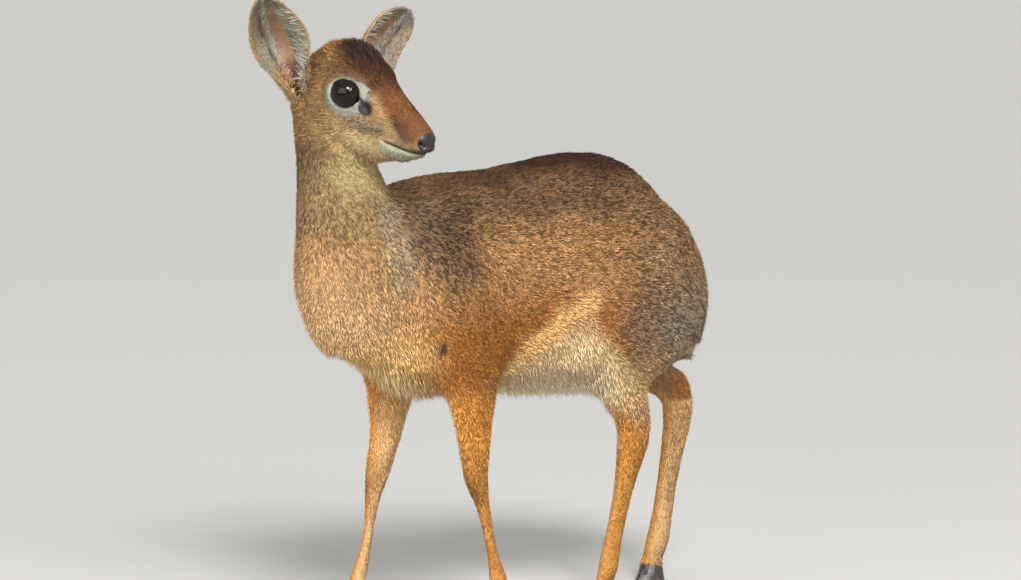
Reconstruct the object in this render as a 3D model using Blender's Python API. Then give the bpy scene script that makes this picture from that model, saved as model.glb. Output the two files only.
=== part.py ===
"""A life-size dik-dik, a very small antelope, standing with its head turned to its left.

Lengths are in centimetres in the animal's own axes (x forward, y to its left, z up from the
ground) and become metres when a mesh is made. Last of all the model is turned so that its chest
faces -Y and its left side faces +X, and is set with the middle of its box over the origin.
"""

import math

import bmesh
import bpy
import numpy as np
from mathutils import Matrix, Vector
from mathutils.bvhtree import BVHTree

CM = 0.01
GAP = 0.03
LEFT, RIGHT = 1, -1
SIDES = {"left": LEFT, "right": RIGHT}
SEED = 7

# How near two points are when they are made one: the first of these that leaves a sound mesh.
WELDS = (0.003, 0.001, 0.006, 0.0003, 0.012)

# How finely the flesh is melted together and how often it is smoothed, over the body and then
# with the head on it. Then it is thinned to these triangles, below and above the height at which
# the head starts.
BODY_VOXEL, BODY_SMOOTHING = 0.25, 50
HEAD_VOXEL, HEAD_SMOOTHING = 0.12, 8
BODY_TRIANGLES, HEAD_TRIANGLES, HEAD_ABOVE = 3900, 3000, 38.0
THINNING_TRIES, THINNING_STEP = 12, 0.03
BALL_DETAIL = 3

# The trunk: x, top, bottom, height of the widest point, half width, squareness.
TRUNK = [
    (18.2, 31.0, 27.4, 29.2, 2.3, 2.0),
    (16.8, 32.6, 24.5, 28.6, 4.0, 2.1),
    (14.6, 33.7, 21.6, 28.2, 5.0, 2.1),
    (11.6, 34.5, 19.1, 27.8, 5.6, 2.2),
    (8.5, 35.2, 18.2, 27.4, 5.9, 2.2),
    (5.0, 35.5, 18.1, 26.8, 6.3, 2.2),
    (1.0, 35.6, 17.9, 26.6, 6.8, 2.2),
    (-3.0, 36.1, 17.5, 26.6, 7.1, 2.2),
    (-7.0, 36.6, 17.1, 27.0, 7.1, 2.2),
    (-10.5, 36.4, 17.6, 27.6, 6.9, 2.2),
    (-13.1, 34.9, 19.0, 27.6, 6.3, 2.2),
    (-15.5, 32.1, 20.8, 27.2, 5.2, 2.1),
    (-17.6, 28.9, 23.2, 26.2, 3.3, 2.0),
]

# The neck: centre x, y, z, half width, reach forward, reach back.
NECK = [
    (9.8, 0.0, 22.0, 2.8, 4.0, 4.0),
    (11.8, 0.0, 25.2, 4.5, 6.4, 5.0),
    (13.9, 0.0, 28.8, 4.7, 6.1, 5.2),
    (15.4, -0.2, 32.8, 3.8, 4.0, 3.9),
    (15.9, -0.6, 36.4, 3.2, 3.1, 2.9),
    (16.0, -0.9, 39.2, 3.0, 3.1, 2.8),
    (16.1, -1.4, 41.4, 2.8, 2.9, 2.7),
    (16.2, -2.0, 43.2, 2.3, 2.4, 2.3),
]

# Swellings of muscle under the coat: centre, reach in x, y and z. Each is made on both sides.
MUSCLES = {
    "shoulder": ((9.0, 3.6, 26.8), (4.8, 2.7, 7.4)),
    "elbow": ((6.4, 4.6, 21.6), (3.0, 2.0, 3.2)),
    "thigh": ((-11.0, 4.3, 25.6), (7.0, 3.0, 7.7)),
    "flank": ((-4.4, 4.9, 21.6), (3.8, 1.6, 2.4)),
    "buttock": ((-15.5, 3.0, 24.8), (3.8, 3.2, 6.0)),
}

# The legs: centre x, y, z, half width, reach forward, reach back. y is measured outwards.
FORE_UPPER = [
    (7.4, 3.4, 32.0, 1.6, 3.0, 3.2),
    (9.0, 4.0, 29.0, 2.3, 4.0, 4.2),
    (9.4, 4.3, 26.0, 2.5, 4.2, 4.6),
]
FORELEG = {
    "left": FORE_UPPER
    + [
        (8.2, 4.6, 22.4, 2.3, 3.4, 3.6),
        (7.0, 4.6, 19.4, 1.9, 2.5, 2.6),
        (6.6, 4.4, 16.6, 1.5, 1.9, 1.9),
        (6.2, 4.1, 13.9, 1.2, 1.5, 1.5),
        (5.9, 3.9, 11.7, 1.15, 1.35, 1.2),
        (5.2, 3.85, 9.6, 0.85, 0.9, 0.95),
        (4.5, 3.8, 6.8, 0.78, 0.8, 0.85),
        (3.9, 3.8, 4.6, 0.85, 0.85, 1.0),
        (3.5, 3.8, 3.4, 0.98, 0.95, 1.15),
        (4.0, 3.8, 2.1, 0.98, 0.85, 0.95),
        (4.4, 3.8, 0.9, 1.05, 1.0, 1.0),
    ],
    "right": FORE_UPPER
    + [
        (8.2, 4.4, 22.4, 2.3, 3.2, 3.6),
        (7.7, 4.4, 19.4, 1.9, 2.3, 2.7),
        (8.0, 4.1, 16.6, 1.5, 1.7, 2.0),
        (8.6, 3.9, 13.9, 1.2, 1.4, 1.6),
        (9.3, 3.8, 11.5, 1.15, 1.25, 1.25),
        (9.9, 3.75, 9.4, 0.85, 0.9, 0.95),
        (10.4, 3.7, 6.8, 0.78, 0.8, 0.85),
        (11.0, 3.7, 4.6, 0.85, 0.85, 1.0),
        (11.4, 3.7, 3.5, 0.98, 0.95, 1.15),
        (11.9, 3.7, 2.1, 0.98, 0.85, 0.95),
        (12.4, 3.7, 0.9, 1.05, 1.0, 1.0),
    ],
}
HINDLEG = {
    "left": [
        (-9.5, 3.2, 31.0, 2.4, 4.6, 4.6),
        (-9.2, 4.2, 27.6, 3.0, 6.2, 6.0),
        (-8.0, 4.6, 23.8, 2.9, 5.2, 5.6),
        (-8.2, 4.6, 20.4, 2.2, 3.4, 4.2),
        (-9.3, 4.3, 17.4, 1.6, 2.1, 2.6),
        (-10.5, 4.1, 14.9, 1.2, 1.5, 2.1),
        (-10.6, 4.0, 13.0, 1.15, 1.4, 1.7),
        (-9.9, 4.0, 10.6, 0.95, 1.15, 1.25),
        (-9.0, 4.0, 7.6, 0.88, 1.0, 1.1),
        (-8.2, 4.0, 4.8, 0.92, 1.0, 1.15),
        (-7.9, 4.0, 3.4, 1.02, 1.1, 1.25),
        (-7.4, 4.0, 2.1, 0.98, 0.9, 0.95),
        (-7.0, 4.0, 0.9, 1.05, 1.0, 1.0),
    ],
    "right": [
        (-10.5, 3.2, 31.0, 2.4, 4.6, 4.6),
        (-11.6, 4.2, 27.6, 3.0, 6.0, 5.8),
        (-13.2, 4.6, 23.8, 2.8, 5.2, 4.8),
        (-16.2, 4.1, 20.6, 2.0, 3.4, 3.2),
        (-19.4, 3.4, 18.0, 1.3, 2.0, 2.1),
        (-21.8, 3.0, 16.2, 1.15, 1.6, 1.8),
        (-22.2, 2.9, 14.0, 1.12, 1.4, 1.6),
        (-21.7, 3.0, 11.0, 0.95, 1.15, 1.25),
        (-21.2, 3.2, 7.8, 0.88, 1.0, 1.1),
        (-20.8, 3.4, 4.9, 0.92, 1.0, 1.15),
        (-20.5, 3.5, 3.5, 1.02, 1.1, 1.25),
        (-20.0, 3.5, 2.1, 0.98, 0.9, 0.95),
        (-19.6, 3.5, 0.9, 1.05, 1.0, 1.0),
    ],
}

# Each hoof: the height of its top, and the middle and heading of its sole.
HOOF_TOP = 1.7
HOOVES = {
    "hoof_fore_left": (4.35, 3.8, 0.0),
    "hoof_fore_right": (12.25, -3.7, -4.0),
    "hoof_hind_left": (-7.05, 4.0, 2.0),
    "hoof_hind_right": (-19.65, -3.5, 0.0),
}

# The head in its own axes, from the nape to the nose: x, top, bottom, height of the widest point,
# half width, squareness. Its middle, turn to the left, droop and roll place it on the body.
SKULL = [
    (-5.3, 0.5, -1.0, -0.3, 0.8, 2.0),
    (-5.0, 1.4, -1.9, -0.3, 1.7, 2.0),
    (-4.0, 2.8, -3.2, -0.2, 2.55, 2.0),
    (-2.4, 3.75, -3.9, -0.1, 3.0, 2.1),
    (-0.6, 4.1, -4.2, 0.1, 3.05, 2.2),
    (0.9, 3.65, -4.3, 0.4, 2.8, 2.2),
    (2.4, 2.9, -4.2, 0.3, 2.25, 2.1),
    (3.9, 2.15, -3.8, -0.3, 1.8, 2.1),
    (5.3, 1.5, -3.2, -0.6, 1.55, 2.1),
    (6.6, 0.85, -2.7, -0.8, 1.35, 2.2),
    (7.5, 0.35, -2.25, -0.85, 1.15, 2.3),
    (8.15, -0.1, -1.75, -0.85, 0.92, 2.3),
    (8.45, -0.45, -1.3, -0.85, 0.55, 2.1),
]
HEAD_AT = (15.8, 1.35, 41.5)
HEAD_YAW, HEAD_DROOP, HEAD_ROLL = 99.0, 17.0, 0.0

# The eyeball's middle, the way the eye looks, and its radius, on the left side of the head, with
# the radius of the opening between the lids, and how far the lids roll out round it.
EYE_AT = (0.92, 1.95, 0.88)
EYE_LOOKS = (0.45, 0.88, 0.12)
EYE_RADIUS = 1.35
LID_OPENING = 1.2
LID_ROLL = 0.2

# Pushes that shape the head, on both sides of it: centre, reach in x, y and z, and push.
STROKES = {
    "brow": ((1.3, 2.1, 2.5), (1.6, 0.9, 0.5), (0.0, 0.2, 0.14)),
    "temple": ((-1.8, 2.7, 1.6), (1.2, 0.8, 1.2), (0.0, -0.2, 0.0)),
    "cheekbone": ((3.4, 2.0, -1.0), (1.9, 0.9, 0.6), (0.0, 0.16, 0.0)),
    "cheek": ((0.4, 2.6, -2.4), (1.8, 1.0, 1.2), (0.0, 0.15, 0.0)),
    "tear_pit": ((3.2, 2.0, -0.1), (0.5, 0.7, 0.45), (0.0, -0.25, 0.0)),
    "side_of_bridge": ((5.0, 1.5, 0.7), (1.6, 0.6, 0.7), (0.0, -0.14, -0.03)),
    "muzzle": ((7.0, 1.2, -0.9), (1.2, 0.8, 0.7), (0.0, 0.12, 0.0)),
    "upper_lip": ((7.2, 0.9, -1.4), (1.1, 0.7, 0.28), (0.06, 0.12, 0.0)),
    "lower_lip": ((7.0, 0.8, -2.1), (0.9, 0.7, 0.28), (0.04, 0.06, 0.0)),
    "chin": ((6.4, 0.4, -2.9), (0.8, 0.8, 0.4), (0.0, 0.0, -0.1)),
}
NOSTRIL = [(8.5, 0.38, -0.72), (8.4, 0.62, -0.85), (8.15, 0.85, -0.85), (7.95, 0.98, -0.7)]
NOSTRIL_DEPTH, NOSTRIL_WIDTH = 0.3, 0.15
# The line of the mouth: where its corner is, its height there, and how it drops towards the nose.
MOUTH_CORNER, MOUTH_HEIGHT, MOUTH_DROP = 5.2, -1.62, 0.07
MOUTH_DEPTH, MOUTH_WIDTH = 0.2, 0.13

# The ears, on the head's own axes: root, tip, the way the cup opens, and widest half width.
EARS = {
    "ear_left": ((-2.5, 2.7, -1.0), (-2.0, 6.3, 7.0), (1.0, -0.15, 0.0), 2.1),
    "ear_right": ((-3.4, -2.0, -1.0), (-3.6, -8.7, 7.2), (0.62, -0.75, 0.1), 2.3),
}
EAR_WALL = 0.16

# The tail: centre x, y, z, half width, reach forward, reach back.
TAIL = [
    (-15.6, 0.0, 30.3, 1.0, 1.0, 1.0),
    (-16.9, 0.0, 29.4, 1.4, 1.0, 1.0),
    (-18.1, 0.1, 27.7, 1.5, 0.95, 0.95),
    (-18.9, 0.2, 25.9, 1.3, 0.85, 0.85),
    (-19.3, 0.2, 24.1, 0.95, 0.7, 0.7),
    (-19.4, 0.2, 22.7, 0.35, 0.3, 0.3),
]

# Locks of long hair: how deep each is rooted, how thick it is for its width, how far it lifts off
# for its length and at what share of that length, and how much locks differ and twist.
LOCK_ROOT, LOCK_FLATNESS, LOCK_LIFT, LOCK_BEND = 0.55, 0.42, 0.14, 0.35
LOCK_VARIES, LOCK_TWIST = 0.16, 0.5
# How often a lock in another node's way is tried again, and how much shorter each time.
LOCK_TRIES, LOCK_SHORTER = 8, 0.08
# How far every second row is shifted, as a share of the step between locks.
ROW_SHIFT = 0.25
# A lock's width, as a share of its widest, at each share of its length, and the step along it
# by which its direction is measured.
LOCK_SHAPE = ((0.0, 0.75), (0.36, 1.0), (0.7, 0.72))
LOCK_STEP = 0.1

# Each patch of locks: its node, whether it is on the head's axes, the places of its rows and of
# the locks in a row, the way they are set into the body, the way they lie, the way their flat
# sides are turned from the skin's own (y outwards from the middle), length and width.
ABOVE, BELOW, BEHIND = (0, 0, -1), (0, 0, 1), (1, 0, 0)
PATCHES = {
    "crest": ("head", True, (1.0, 0.2, -0.6, -1.4, -2.2), (-1.3, -0.43, 0.43, 1.3), ABOVE,
              (-0.6, 0.0, 0.75), (0.0, 0.25, 0.0), 1.15, 0.85),
    "brisket": ("torso", False, (12.0, 10.8, 9.6, 8.4, 7.2, 6.0, 4.8), (-1.1, 1.1), BELOW,
                (-0.3, 0.0, -0.95), (3.5, 4.0, 0.0), 2.3, 1.6),
    "belly": ("torso", False, (2.6, 1.2, -0.2, -1.6, -3.0, -4.4, -5.8, -7.2), (-2.4, 0.0, 2.4), BELOW,
              (-0.5, 0.0, -0.87), (0.0, 6.0, 0.0), 2.1, 1.6),
    "rump": ("torso", False, (25.4, 23.6, 21.9, 20.4), (-4.4, -2.9, -1.5, 1.5, 2.9, 4.4), BEHIND,
             (-0.16, 0.0, -0.98), (0.0, 0.0, 0.0), 2.3, 1.5),
    "tail": ("tail", False, (27.4, 25.8, 24.2), (-0.7, 0.3, 1.1), BEHIND,
             (-0.12, 0.0, -0.98), (0.0, 0.0, 0.0), 2.1, 1.1),
}

# The cuts through the neck: a point on each, and the way towards the body.
HEAD_CUT = ((16.0, -0.4, 37.9), (-0.1, -0.1, -1.0))
NECK_CUT = ((15.2, 0.0, 32.6), (-0.62, 0.0, -0.78))
BEYOND = 30.0

# The cut at the top of each leg slopes up and outwards: the leg's side, how far it reaches
# along x, the cut's height at the inner edge, and its slope towards the back.
LEG_INSIDE, LEG_OUTSIDE, LEG_SLOPE = 1.5, 9.5, 0.8
LEG_CUTS = {
    "foreleg_left": (LEFT, 2.2, 13.0, 17.5, 0.0),
    "foreleg_right": (RIGHT, 3.2, 15.0, 17.5, 0.0),
    "hindleg_left": (LEFT, -15.5, -3.2, 16.5, 0.0),
    "hindleg_right": (RIGHT, -25.5, -7.5, 17.0, 0.12),
}


def smooth_rows(rows, count):
    """Rows of numbers read at count places along a smooth curve through them."""
    rows = np.array(rows, float)
    padded = np.vstack([2 * rows[0] - rows[1], rows, 2 * rows[-1] - rows[-2]])
    found = []
    for place in np.linspace(0, len(rows) - 1 - 1e-9, count):
        i, t = int(place), place - int(place)
        a, b, c, d = padded[i : i + 4]
        linear, square, cube = c - a, 2 * a - 5 * b + 4 * c - d, 3 * b - a - 3 * c + d
        found.append(0.5 * (2 * b + linear * t + square * t**2 + cube * t**3))
    return np.array(found)


def oval(count, squareness):
    """The x and y of a unit ring, pushed outwards where it is squarer than an ellipse."""
    turn = np.linspace(0, 2 * math.pi, count, endpoint=False)
    power = 2 / squareness
    across = np.sign(np.cos(turn)) * np.abs(np.cos(turn)) ** power
    upward = np.sign(np.sin(turn)) * np.abs(np.sin(turn)) ** power
    return across, upward


def face_outwards(made):
    """The faces of a closed bmesh turned to point out."""
    made.normal_update()
    bmesh.ops.recalc_face_normals(made, faces=made.faces)
    if made.calc_volume(signed=True) < 0:
        bmesh.ops.reverse_faces(made, faces=made.faces)


def object_of(name, made):
    """The bmesh as an object of that name in the scene."""
    mesh = bpy.data.meshes.new(name)
    made.to_mesh(mesh)
    made.free()
    found = bpy.data.objects.new(name, mesh)
    bpy.context.scene.collection.objects.link(found)
    return found


def tube_of(name, rings):
    """A closed body through rings of points, each end brought to its middle."""
    made = bmesh.new()
    loops = [[made.verts.new(Vector(point) * CM) for point in ring] for ring in rings]
    for first, second in zip(loops, loops[1:]):
        for i in range(len(first)):
            j = (i + 1) % len(first)
            made.faces.new((first[i], first[j], second[j], second[i]))
    for loop in (loops[0], loops[-1]):
        centre = made.verts.new(sum((v.co for v in loop), Vector()) / len(loop))
        for i in range(len(loop)):
            made.faces.new((loop[i], loop[(i + 1) % len(loop)], centre))
    face_outwards(made)
    return object_of(name, made)


def barrel(name, rows, count=48, around=48):
    """A body along x, from rows of x, top, bottom, middle height, half width and squareness."""
    rings = []
    for x, top, bottom, middle, half, squareness in smooth_rows(rows, count):
        across, upward = oval(around, squareness)
        height = np.where(upward > 0, top - middle, middle - bottom)
        rings.append(np.column_stack([np.full(around, x), half * across, middle + height * upward]))
    return tube_of(name, rings)


def limb(name, rows, side=LEFT, count=64, around=32):
    """A tube down a limb, from rows of x, y, z, half width, forward reach and back reach."""
    rows = smooth_rows(rows, count)
    rows[:, 1] *= side
    rings = []
    for i, (x, y, z, half, forward, back) in enumerate(rows):
        along = Vector(rows[min(i + 1, count - 1), :3] - rows[max(i - 1, 0), :3]).normalized()
        sideways = Vector((0, 1, 0)) - along * along.y
        sideways.normalize()
        ahead = sideways.cross(along).normalized()
        if ahead.x < 0:
            ahead.negate()
        across, upward = oval(around, 2.1)
        reach = np.where(upward > 0, forward, back) * upward
        rings.append(np.array((x, y, z)) + np.outer(half * across, sideways) + np.outer(reach, ahead))
    return tube_of(name, rings)


def ball(name, centre, reach):
    """An ellipsoid of triangles."""
    made = bmesh.new()
    bmesh.ops.create_icosphere(made, subdivisions=BALL_DETAIL, radius=1.0)
    for vert in made.verts:
        vert.co = Vector(centre) * CM + Vector(a * b * CM for a, b in zip(vert.co, reach))
    return object_of(name, made)


def apply_modifiers(item):
    """The object's mesh replaced by what its modifiers make of it."""
    graph = bpy.context.evaluated_depsgraph_get()
    mesh = bpy.data.meshes.new_from_object(item.evaluated_get(graph))
    item.modifiers.clear()
    item.data = mesh
    return item


def drop(*items):
    """Objects taken out of the file."""
    for item in items:
        bpy.data.objects.remove(item)


def fused(name, pieces, voxel, rounds):
    """The pieces melted into one skin by a voxel remesh of that size and some smoothing."""
    made = bmesh.new()
    for piece in pieces:
        made.from_mesh(piece.data)
    drop(*pieces)
    whole = object_of(name, made)
    melt = whole.modifiers.new("melt", "REMESH")
    melt.mode = "VOXEL"
    melt.voxel_size = voxel * CM
    smooth = whole.modifiers.new("smooth", "SMOOTH")
    smooth.factor, smooth.iterations = 0.5, rounds
    return apply_modifiers(whole)


def boolean(item, other, operation):
    """The item joined with, cut by or kept inside another closed object."""
    change = item.modifiers.new("boolean", "BOOLEAN")
    change.object, change.operation, change.solver = other, operation, "MANIFOLD"
    return apply_modifiers(item)


def welded(made):
    """A mesh with points that all but touch made one, and the slivers that this leaves taken out."""
    for distance in WELDS:
        trial = made.copy()
        bmesh.ops.remove_doubles(trial, verts=trial.verts, dist=distance * CM)
        bmesh.ops.triangulate(trial, faces=trial.faces)
        bmesh.ops.dissolve_degenerate(trial, edges=trial.edges, dist=distance * CM)
        bmesh.ops.triangulate(trial, faces=trial.faces)
        faces = {}
        for face in trial.faces:
            faces.setdefault(frozenset(face.verts), []).append(face)
        flaps = [face for pair in faces.values() if len(pair) > 1 for face in pair]
        bmesh.ops.delete(trial, geom=flaps, context="FACES")
        mesh = bpy.data.meshes.new("welded")
        trial.to_mesh(mesh)
        trial.free()
        if is_sound(mesh):
            break
    return mesh


def largest_body(item):
    """The object with only its largest closed surface kept."""
    made = bmesh.new()
    made.from_mesh(item.data)
    made.verts.ensure_lookup_table()
    seen, groups = set(), []
    for start in made.verts:
        if start in seen:
            continue
        group, edge = {start}, [start]
        while edge:
            vert = edge.pop()
            for link in vert.link_edges:
                other = link.other_vert(vert)
                if other not in group:
                    group.add(other)
                    edge.append(other)
        seen |= group
        groups.append(group)
    keep = max(groups, key=len)
    bmesh.ops.delete(made, geom=[v for v in made.verts if v not in keep], context="VERTS")
    item.data = welded(made)
    made.free()
    return item


def is_sound(mesh):
    """Whether a mesh is closed, with two faces at each edge and no faces that cross."""
    made = bmesh.new()
    made.from_mesh(mesh)
    tree = BVHTree.FromBMesh(made)
    closed = all(len(edge.link_faces) == 2 for edge in made.edges)
    corners = [set(vert.index for vert in face.verts) for face in made.faces]
    made.free()
    return closed and all(corners[i] & corners[j] for i, j in tree.overlap(tree) if i != j)


def points_of(item):
    """The object's points, in centimetres."""
    found = np.empty(len(item.data.vertices) * 3, np.float32)
    item.data.vertices.foreach_get("co", found)
    return found.reshape(-1, 3).astype(float) / CM


def set_points(item, points):
    """The object's points set, in centimetres."""
    item.data.vertices.foreach_set("co", (points * CM).astype(np.float32).ravel())
    item.data.update()


def thinned(item, triangles, is_head):
    """The head's faces, or all the others, brought down to about that many triangles."""
    item.data.calc_loop_triangles()
    faces = np.empty(len(item.data.loop_triangles) * 3, np.int32)
    item.data.loop_triangles.foreach_get("vertices", faces)
    chosen = (points_of(item)[:, 2] > HEAD_ABOVE) == is_head
    others = len(faces) // 3 - chosen[faces.reshape(-1, 3)].all(axis=1).sum()
    group = item.vertex_groups.new(name="chosen")
    group.add(np.nonzero(chosen)[0].tolist(), 1.0, "REPLACE")
    thin = item.modifiers.new("thin", "DECIMATE")
    thin.use_collapse_triangulate, thin.vertex_group = True, "chosen"
    for extra in range(THINNING_TRIES):
        thin.ratio = (others + triangles * (1 + THINNING_STEP * extra)) * 3 / len(faces)
        graph = bpy.context.evaluated_depsgraph_get()
        mesh = bpy.data.meshes.new_from_object(item.evaluated_get(graph))
        if is_sound(mesh):
            break
    item.modifiers.clear()
    item.data = mesh
    item.vertex_groups.clear()
    return item


def head_matrix():
    """The turn and place that carry the head's own axes onto the body's."""
    return (
        Matrix.Translation(HEAD_AT)
        @ Matrix.Rotation(math.radians(HEAD_YAW), 4, "Z")
        @ Matrix.Rotation(math.radians(HEAD_DROOP), 4, "Y")
        @ Matrix.Rotation(math.radians(HEAD_ROLL), 4, "X")
    )


def on_body(item):
    """An object made on the head's axes, carried onto the body's."""
    move = head_matrix()
    move.translation *= CM
    item.data.transform(move)
    return item


def path_distance(points, path):
    """How far each point lies from a path of straight pieces."""
    found = np.full(len(points), np.inf)
    for first, second in zip(path, path[1:]):
        first, second = np.array(first), np.array(second)
        along = second - first
        share = np.clip((points - first) @ along / (along @ along), 0, 1)
        found = np.minimum(found, np.linalg.norm(points - first - np.outer(share, along), axis=1))
    return found


def mirrored(place, side):
    """A place or push on the head's left, carried to that side."""
    return np.array(place) * (1, side, 1)


def faded(values, low, high):
    """Nought below low, one above high, and a smooth step between."""
    share = np.clip((values - low) / (high - low), 0, 1)
    return share * share * (3 - 2 * share)


def sculpt_eye(points, side):
    """A flat round rim for one eye, with the lids rolled out round its opening."""
    looks = mirrored(EYE_LOOKS, side) / np.linalg.norm(EYE_LOOKS)
    level = math.sqrt(EYE_RADIUS**2 - LID_OPENING**2)
    away = points - mirrored(EYE_AT, side)
    out = away @ looks
    spread = np.linalg.norm(away - np.outer(out, looks), axis=1)
    near = faded(out, level - 1.3, level - 0.5)
    flat = near * (1 - faded(spread, LID_OPENING + 0.35, LID_OPENING + 0.9))
    rolled = near * LID_ROLL * np.exp(-(((spread - LID_OPENING - 0.1) / 0.2) ** 2))
    return points + np.outer(flat * (level - out) + rolled, looks)


def sculpt_head(flesh):
    """Brows, cheeks, lids, lips, mouth and nostrils pushed into the head's part of the flesh."""
    to_head = np.array(head_matrix().inverted())
    points = points_of(flesh) @ to_head[:3, :3].T + to_head[:3, 3]
    normals = np.empty(len(points) * 3, np.float32)
    flesh.data.vertices.foreach_get("normal", normals)
    normals = normals.reshape(-1, 3) @ to_head[:3, :3].T
    for side in SIDES.values():
        for centre, reach, push in STROKES.values():
            away = (points - mirrored(centre, side)) / reach
            strength = np.exp(-(away**2).sum(axis=1))
            points += np.outer(strength, mirrored(push, side))
        points = sculpt_eye(points, side)
        slit = path_distance(points, smooth_rows([mirrored(p, side) for p in NOSTRIL], 12))
        points -= NOSTRIL_DEPTH * np.exp(-((slit / NOSTRIL_WIDTH) ** 2))[:, None] * normals
    ahead = points[:, 0] - MOUTH_CORNER
    off_line = points[:, 2] - (MOUTH_HEIGHT - MOUTH_DROP * ahead)
    groove = faded(ahead, 0.0, 0.5) * np.exp(-((off_line / MOUTH_WIDTH) ** 2))
    points -= MOUTH_DEPTH * groove[:, None] * normals
    to_body = np.array(head_matrix())
    set_points(flesh, points @ to_body[:3, :3].T + to_body[:3, 3])


def ear(name, root, tip, opens, widest):
    """A cupped ear: a leaf of even thickness rolled round its own long axis."""
    root, tip = Vector(root), Vector(tip)
    length = (tip - root).length
    along = (tip - root).normalized()
    facing = Vector(opens) - along * Vector(opens).dot(along)
    facing.normalize()
    side = along.cross(facing)
    # Along the ear: share of its length, half width, roll of its edges in degrees, lean forward.
    leaf = smooth_rows(
        [
            (0.00, 0.75, 166, 0.0),
            (0.16, 0.95, 150, 0.05),
            (0.30, 1.3, 112, 0.0),
            (0.48, 0.97 * widest, 76, -0.1),
            (0.66, 0.92 * widest, 64, -0.1),
            (0.84, 0.66 * widest, 52, 0.05),
            (0.95, 0.38 * widest, 42, 0.2),
            (1.00, 0.14 * widest, 36, 0.26),
        ],
        18,
    )
    made = bmesh.new()
    outer, inner = [], []
    for share, half, roll, lean in leaf:
        middle = root + along * share * length + facing * lean
        edge = math.radians(roll)
        radius = half / math.sin(min(edge, math.pi / 2))
        wall = min(EAR_WALL, 0.45 * radius)
        rows = []
        for size in (radius, radius - wall):
            turns = np.linspace(-edge, edge, 13)
            rows.append(
                [
                    made.verts.new((middle + side * size * math.sin(t) - facing * size * math.cos(t)
                                    + facing * radius * max(0.35, math.cos(edge))) * CM)
                    for t in turns
                ]
            )
        outer.append(rows[0])
        inner.append(rows[1])
    for sheet in (outer, inner):
        for first, second in zip(sheet, sheet[1:]):
            for i in range(len(first) - 1):
                made.faces.new((first[i], first[i + 1], second[i + 1], second[i]))
    for column in (0, -1):
        for i in range(len(outer) - 1):
            made.faces.new((outer[i][column], outer[i + 1][column], inner[i + 1][column], inner[i][column]))
    for row in (0, -1):
        for i in range(len(outer[0]) - 1):
            made.faces.new((outer[row][i], outer[row][i + 1], inner[row][i + 1], inner[row][i]))
    face_outwards(made)
    return on_body(object_of(name, made))


def block(name, face, inward, length, half_width, half_height, grow=0.0):
    """A box that holds one limb: its inner face is on the cut, and it runs away from the body."""
    inward = Vector(inward).normalized()
    sideways = Vector((0, 1, 0)) - inward * inward.y
    sideways.normalize()
    ahead = inward.cross(sideways)
    made = bmesh.new()
    bmesh.ops.create_cube(made, size=2.0)
    for vert in made.verts:
        run = grow if vert.co.z > 0 else -length
        wide, high = vert.co.y * (half_width + grow), vert.co.x * (half_height + grow)
        vert.co = (Vector(face) + inward * run + sideways * wide + ahead * high) * CM
    face_outwards(made)
    return object_of(name, made)


def column(name, side, back, front, height, slope, grow=0.0):
    """A block that holds one leg from the floor up to its sloping cut."""
    made = bmesh.new()
    bmesh.ops.create_cube(made, size=2.0)
    for vert in made.verts:
        x = front + grow if vert.co.x > 0 else back - grow
        out = LEG_OUTSIDE + grow if vert.co.y > 0 else LEG_INSIDE - grow
        top = height + grow + LEG_SLOPE * (out - LEG_INSIDE) + slope * (front - x)
        vert.co = Vector((x, side * out, top if vert.co.z > 0 else -5.0)) * CM
    face_outwards(made)
    return object_of(name, made)


def part_off(flesh, name, inner, outer):
    """The flesh inside the inner block as its own node; what is outside the outer one remains."""
    piece = flesh.copy()
    piece.data = flesh.data.copy()
    piece.name = name
    bpy.context.scene.collection.objects.link(piece)
    boolean(piece, inner, "INTERSECT")
    boolean(flesh, outer, "DIFFERENCE")
    drop(inner, outer)
    return largest_body(piece)


def parted(flesh):
    """The flesh cut into its named nodes by blocks, with a thin gap between them."""
    nodes = {}
    for name, (point, inward) in (("head", HEAD_CUT), ("neck", NECK_CUT)):
        inner = block("inner", point, inward, BEYOND, BEYOND, BEYOND)
        outer = block("outer", point, inward, BEYOND, BEYOND, BEYOND, GAP)
        nodes[name] = part_off(flesh, name, inner, outer)
    for name, cut in LEG_CUTS.items():
        nodes[name] = part_off(flesh, name, column("inner", *cut), column("outer", *cut, grow=GAP))
    flesh.name = "torso"
    nodes["torso"] = largest_body(flesh)
    return nodes


def claw(side):
    """One half of a hoof, pointing along x, with a flat sole."""
    # The wall's outline at the sole and at the top: x, y outwards from the cleft.
    sole = [(-1.0, 0.12), (-1.05, 0.68), (-0.5, 0.97), (0.3, 0.93), (1.05, 0.56), (1.55, 0.13), (0.6, 0.1)]
    crown = [(-0.92, 0.1), (-0.96, 0.64), (-0.5, 0.9), (0.1, 0.87), (0.52, 0.6), (0.74, 0.14), (0.3, 0.08)]
    made = bmesh.new()
    rings = []
    for level, share in ((0.0, 0.0), (0.12, 0.0), (0.75, 0.5), (HOOF_TOP, 1.0)):
        ring = []
        for low, high in zip(sole, crown):
            x, y = np.array(low) * (1 - share) + np.array(high) * share
            bulge = 0.06 if level == 0.12 else 0.0
            ring.append(made.verts.new((x * (1 + bulge * 0.5), side * (y + bulge * (y > 0.3)), level)))
        rings.append(ring)
    for first, second in zip(rings, rings[1:]):
        for i in range(len(first)):
            j = (i + 1) % len(first)
            made.faces.new((first[i], first[j], second[j], second[i]))
    made.faces.new(rings[0])
    made.faces.new(rings[-1])
    face_outwards(made)
    return made


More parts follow.
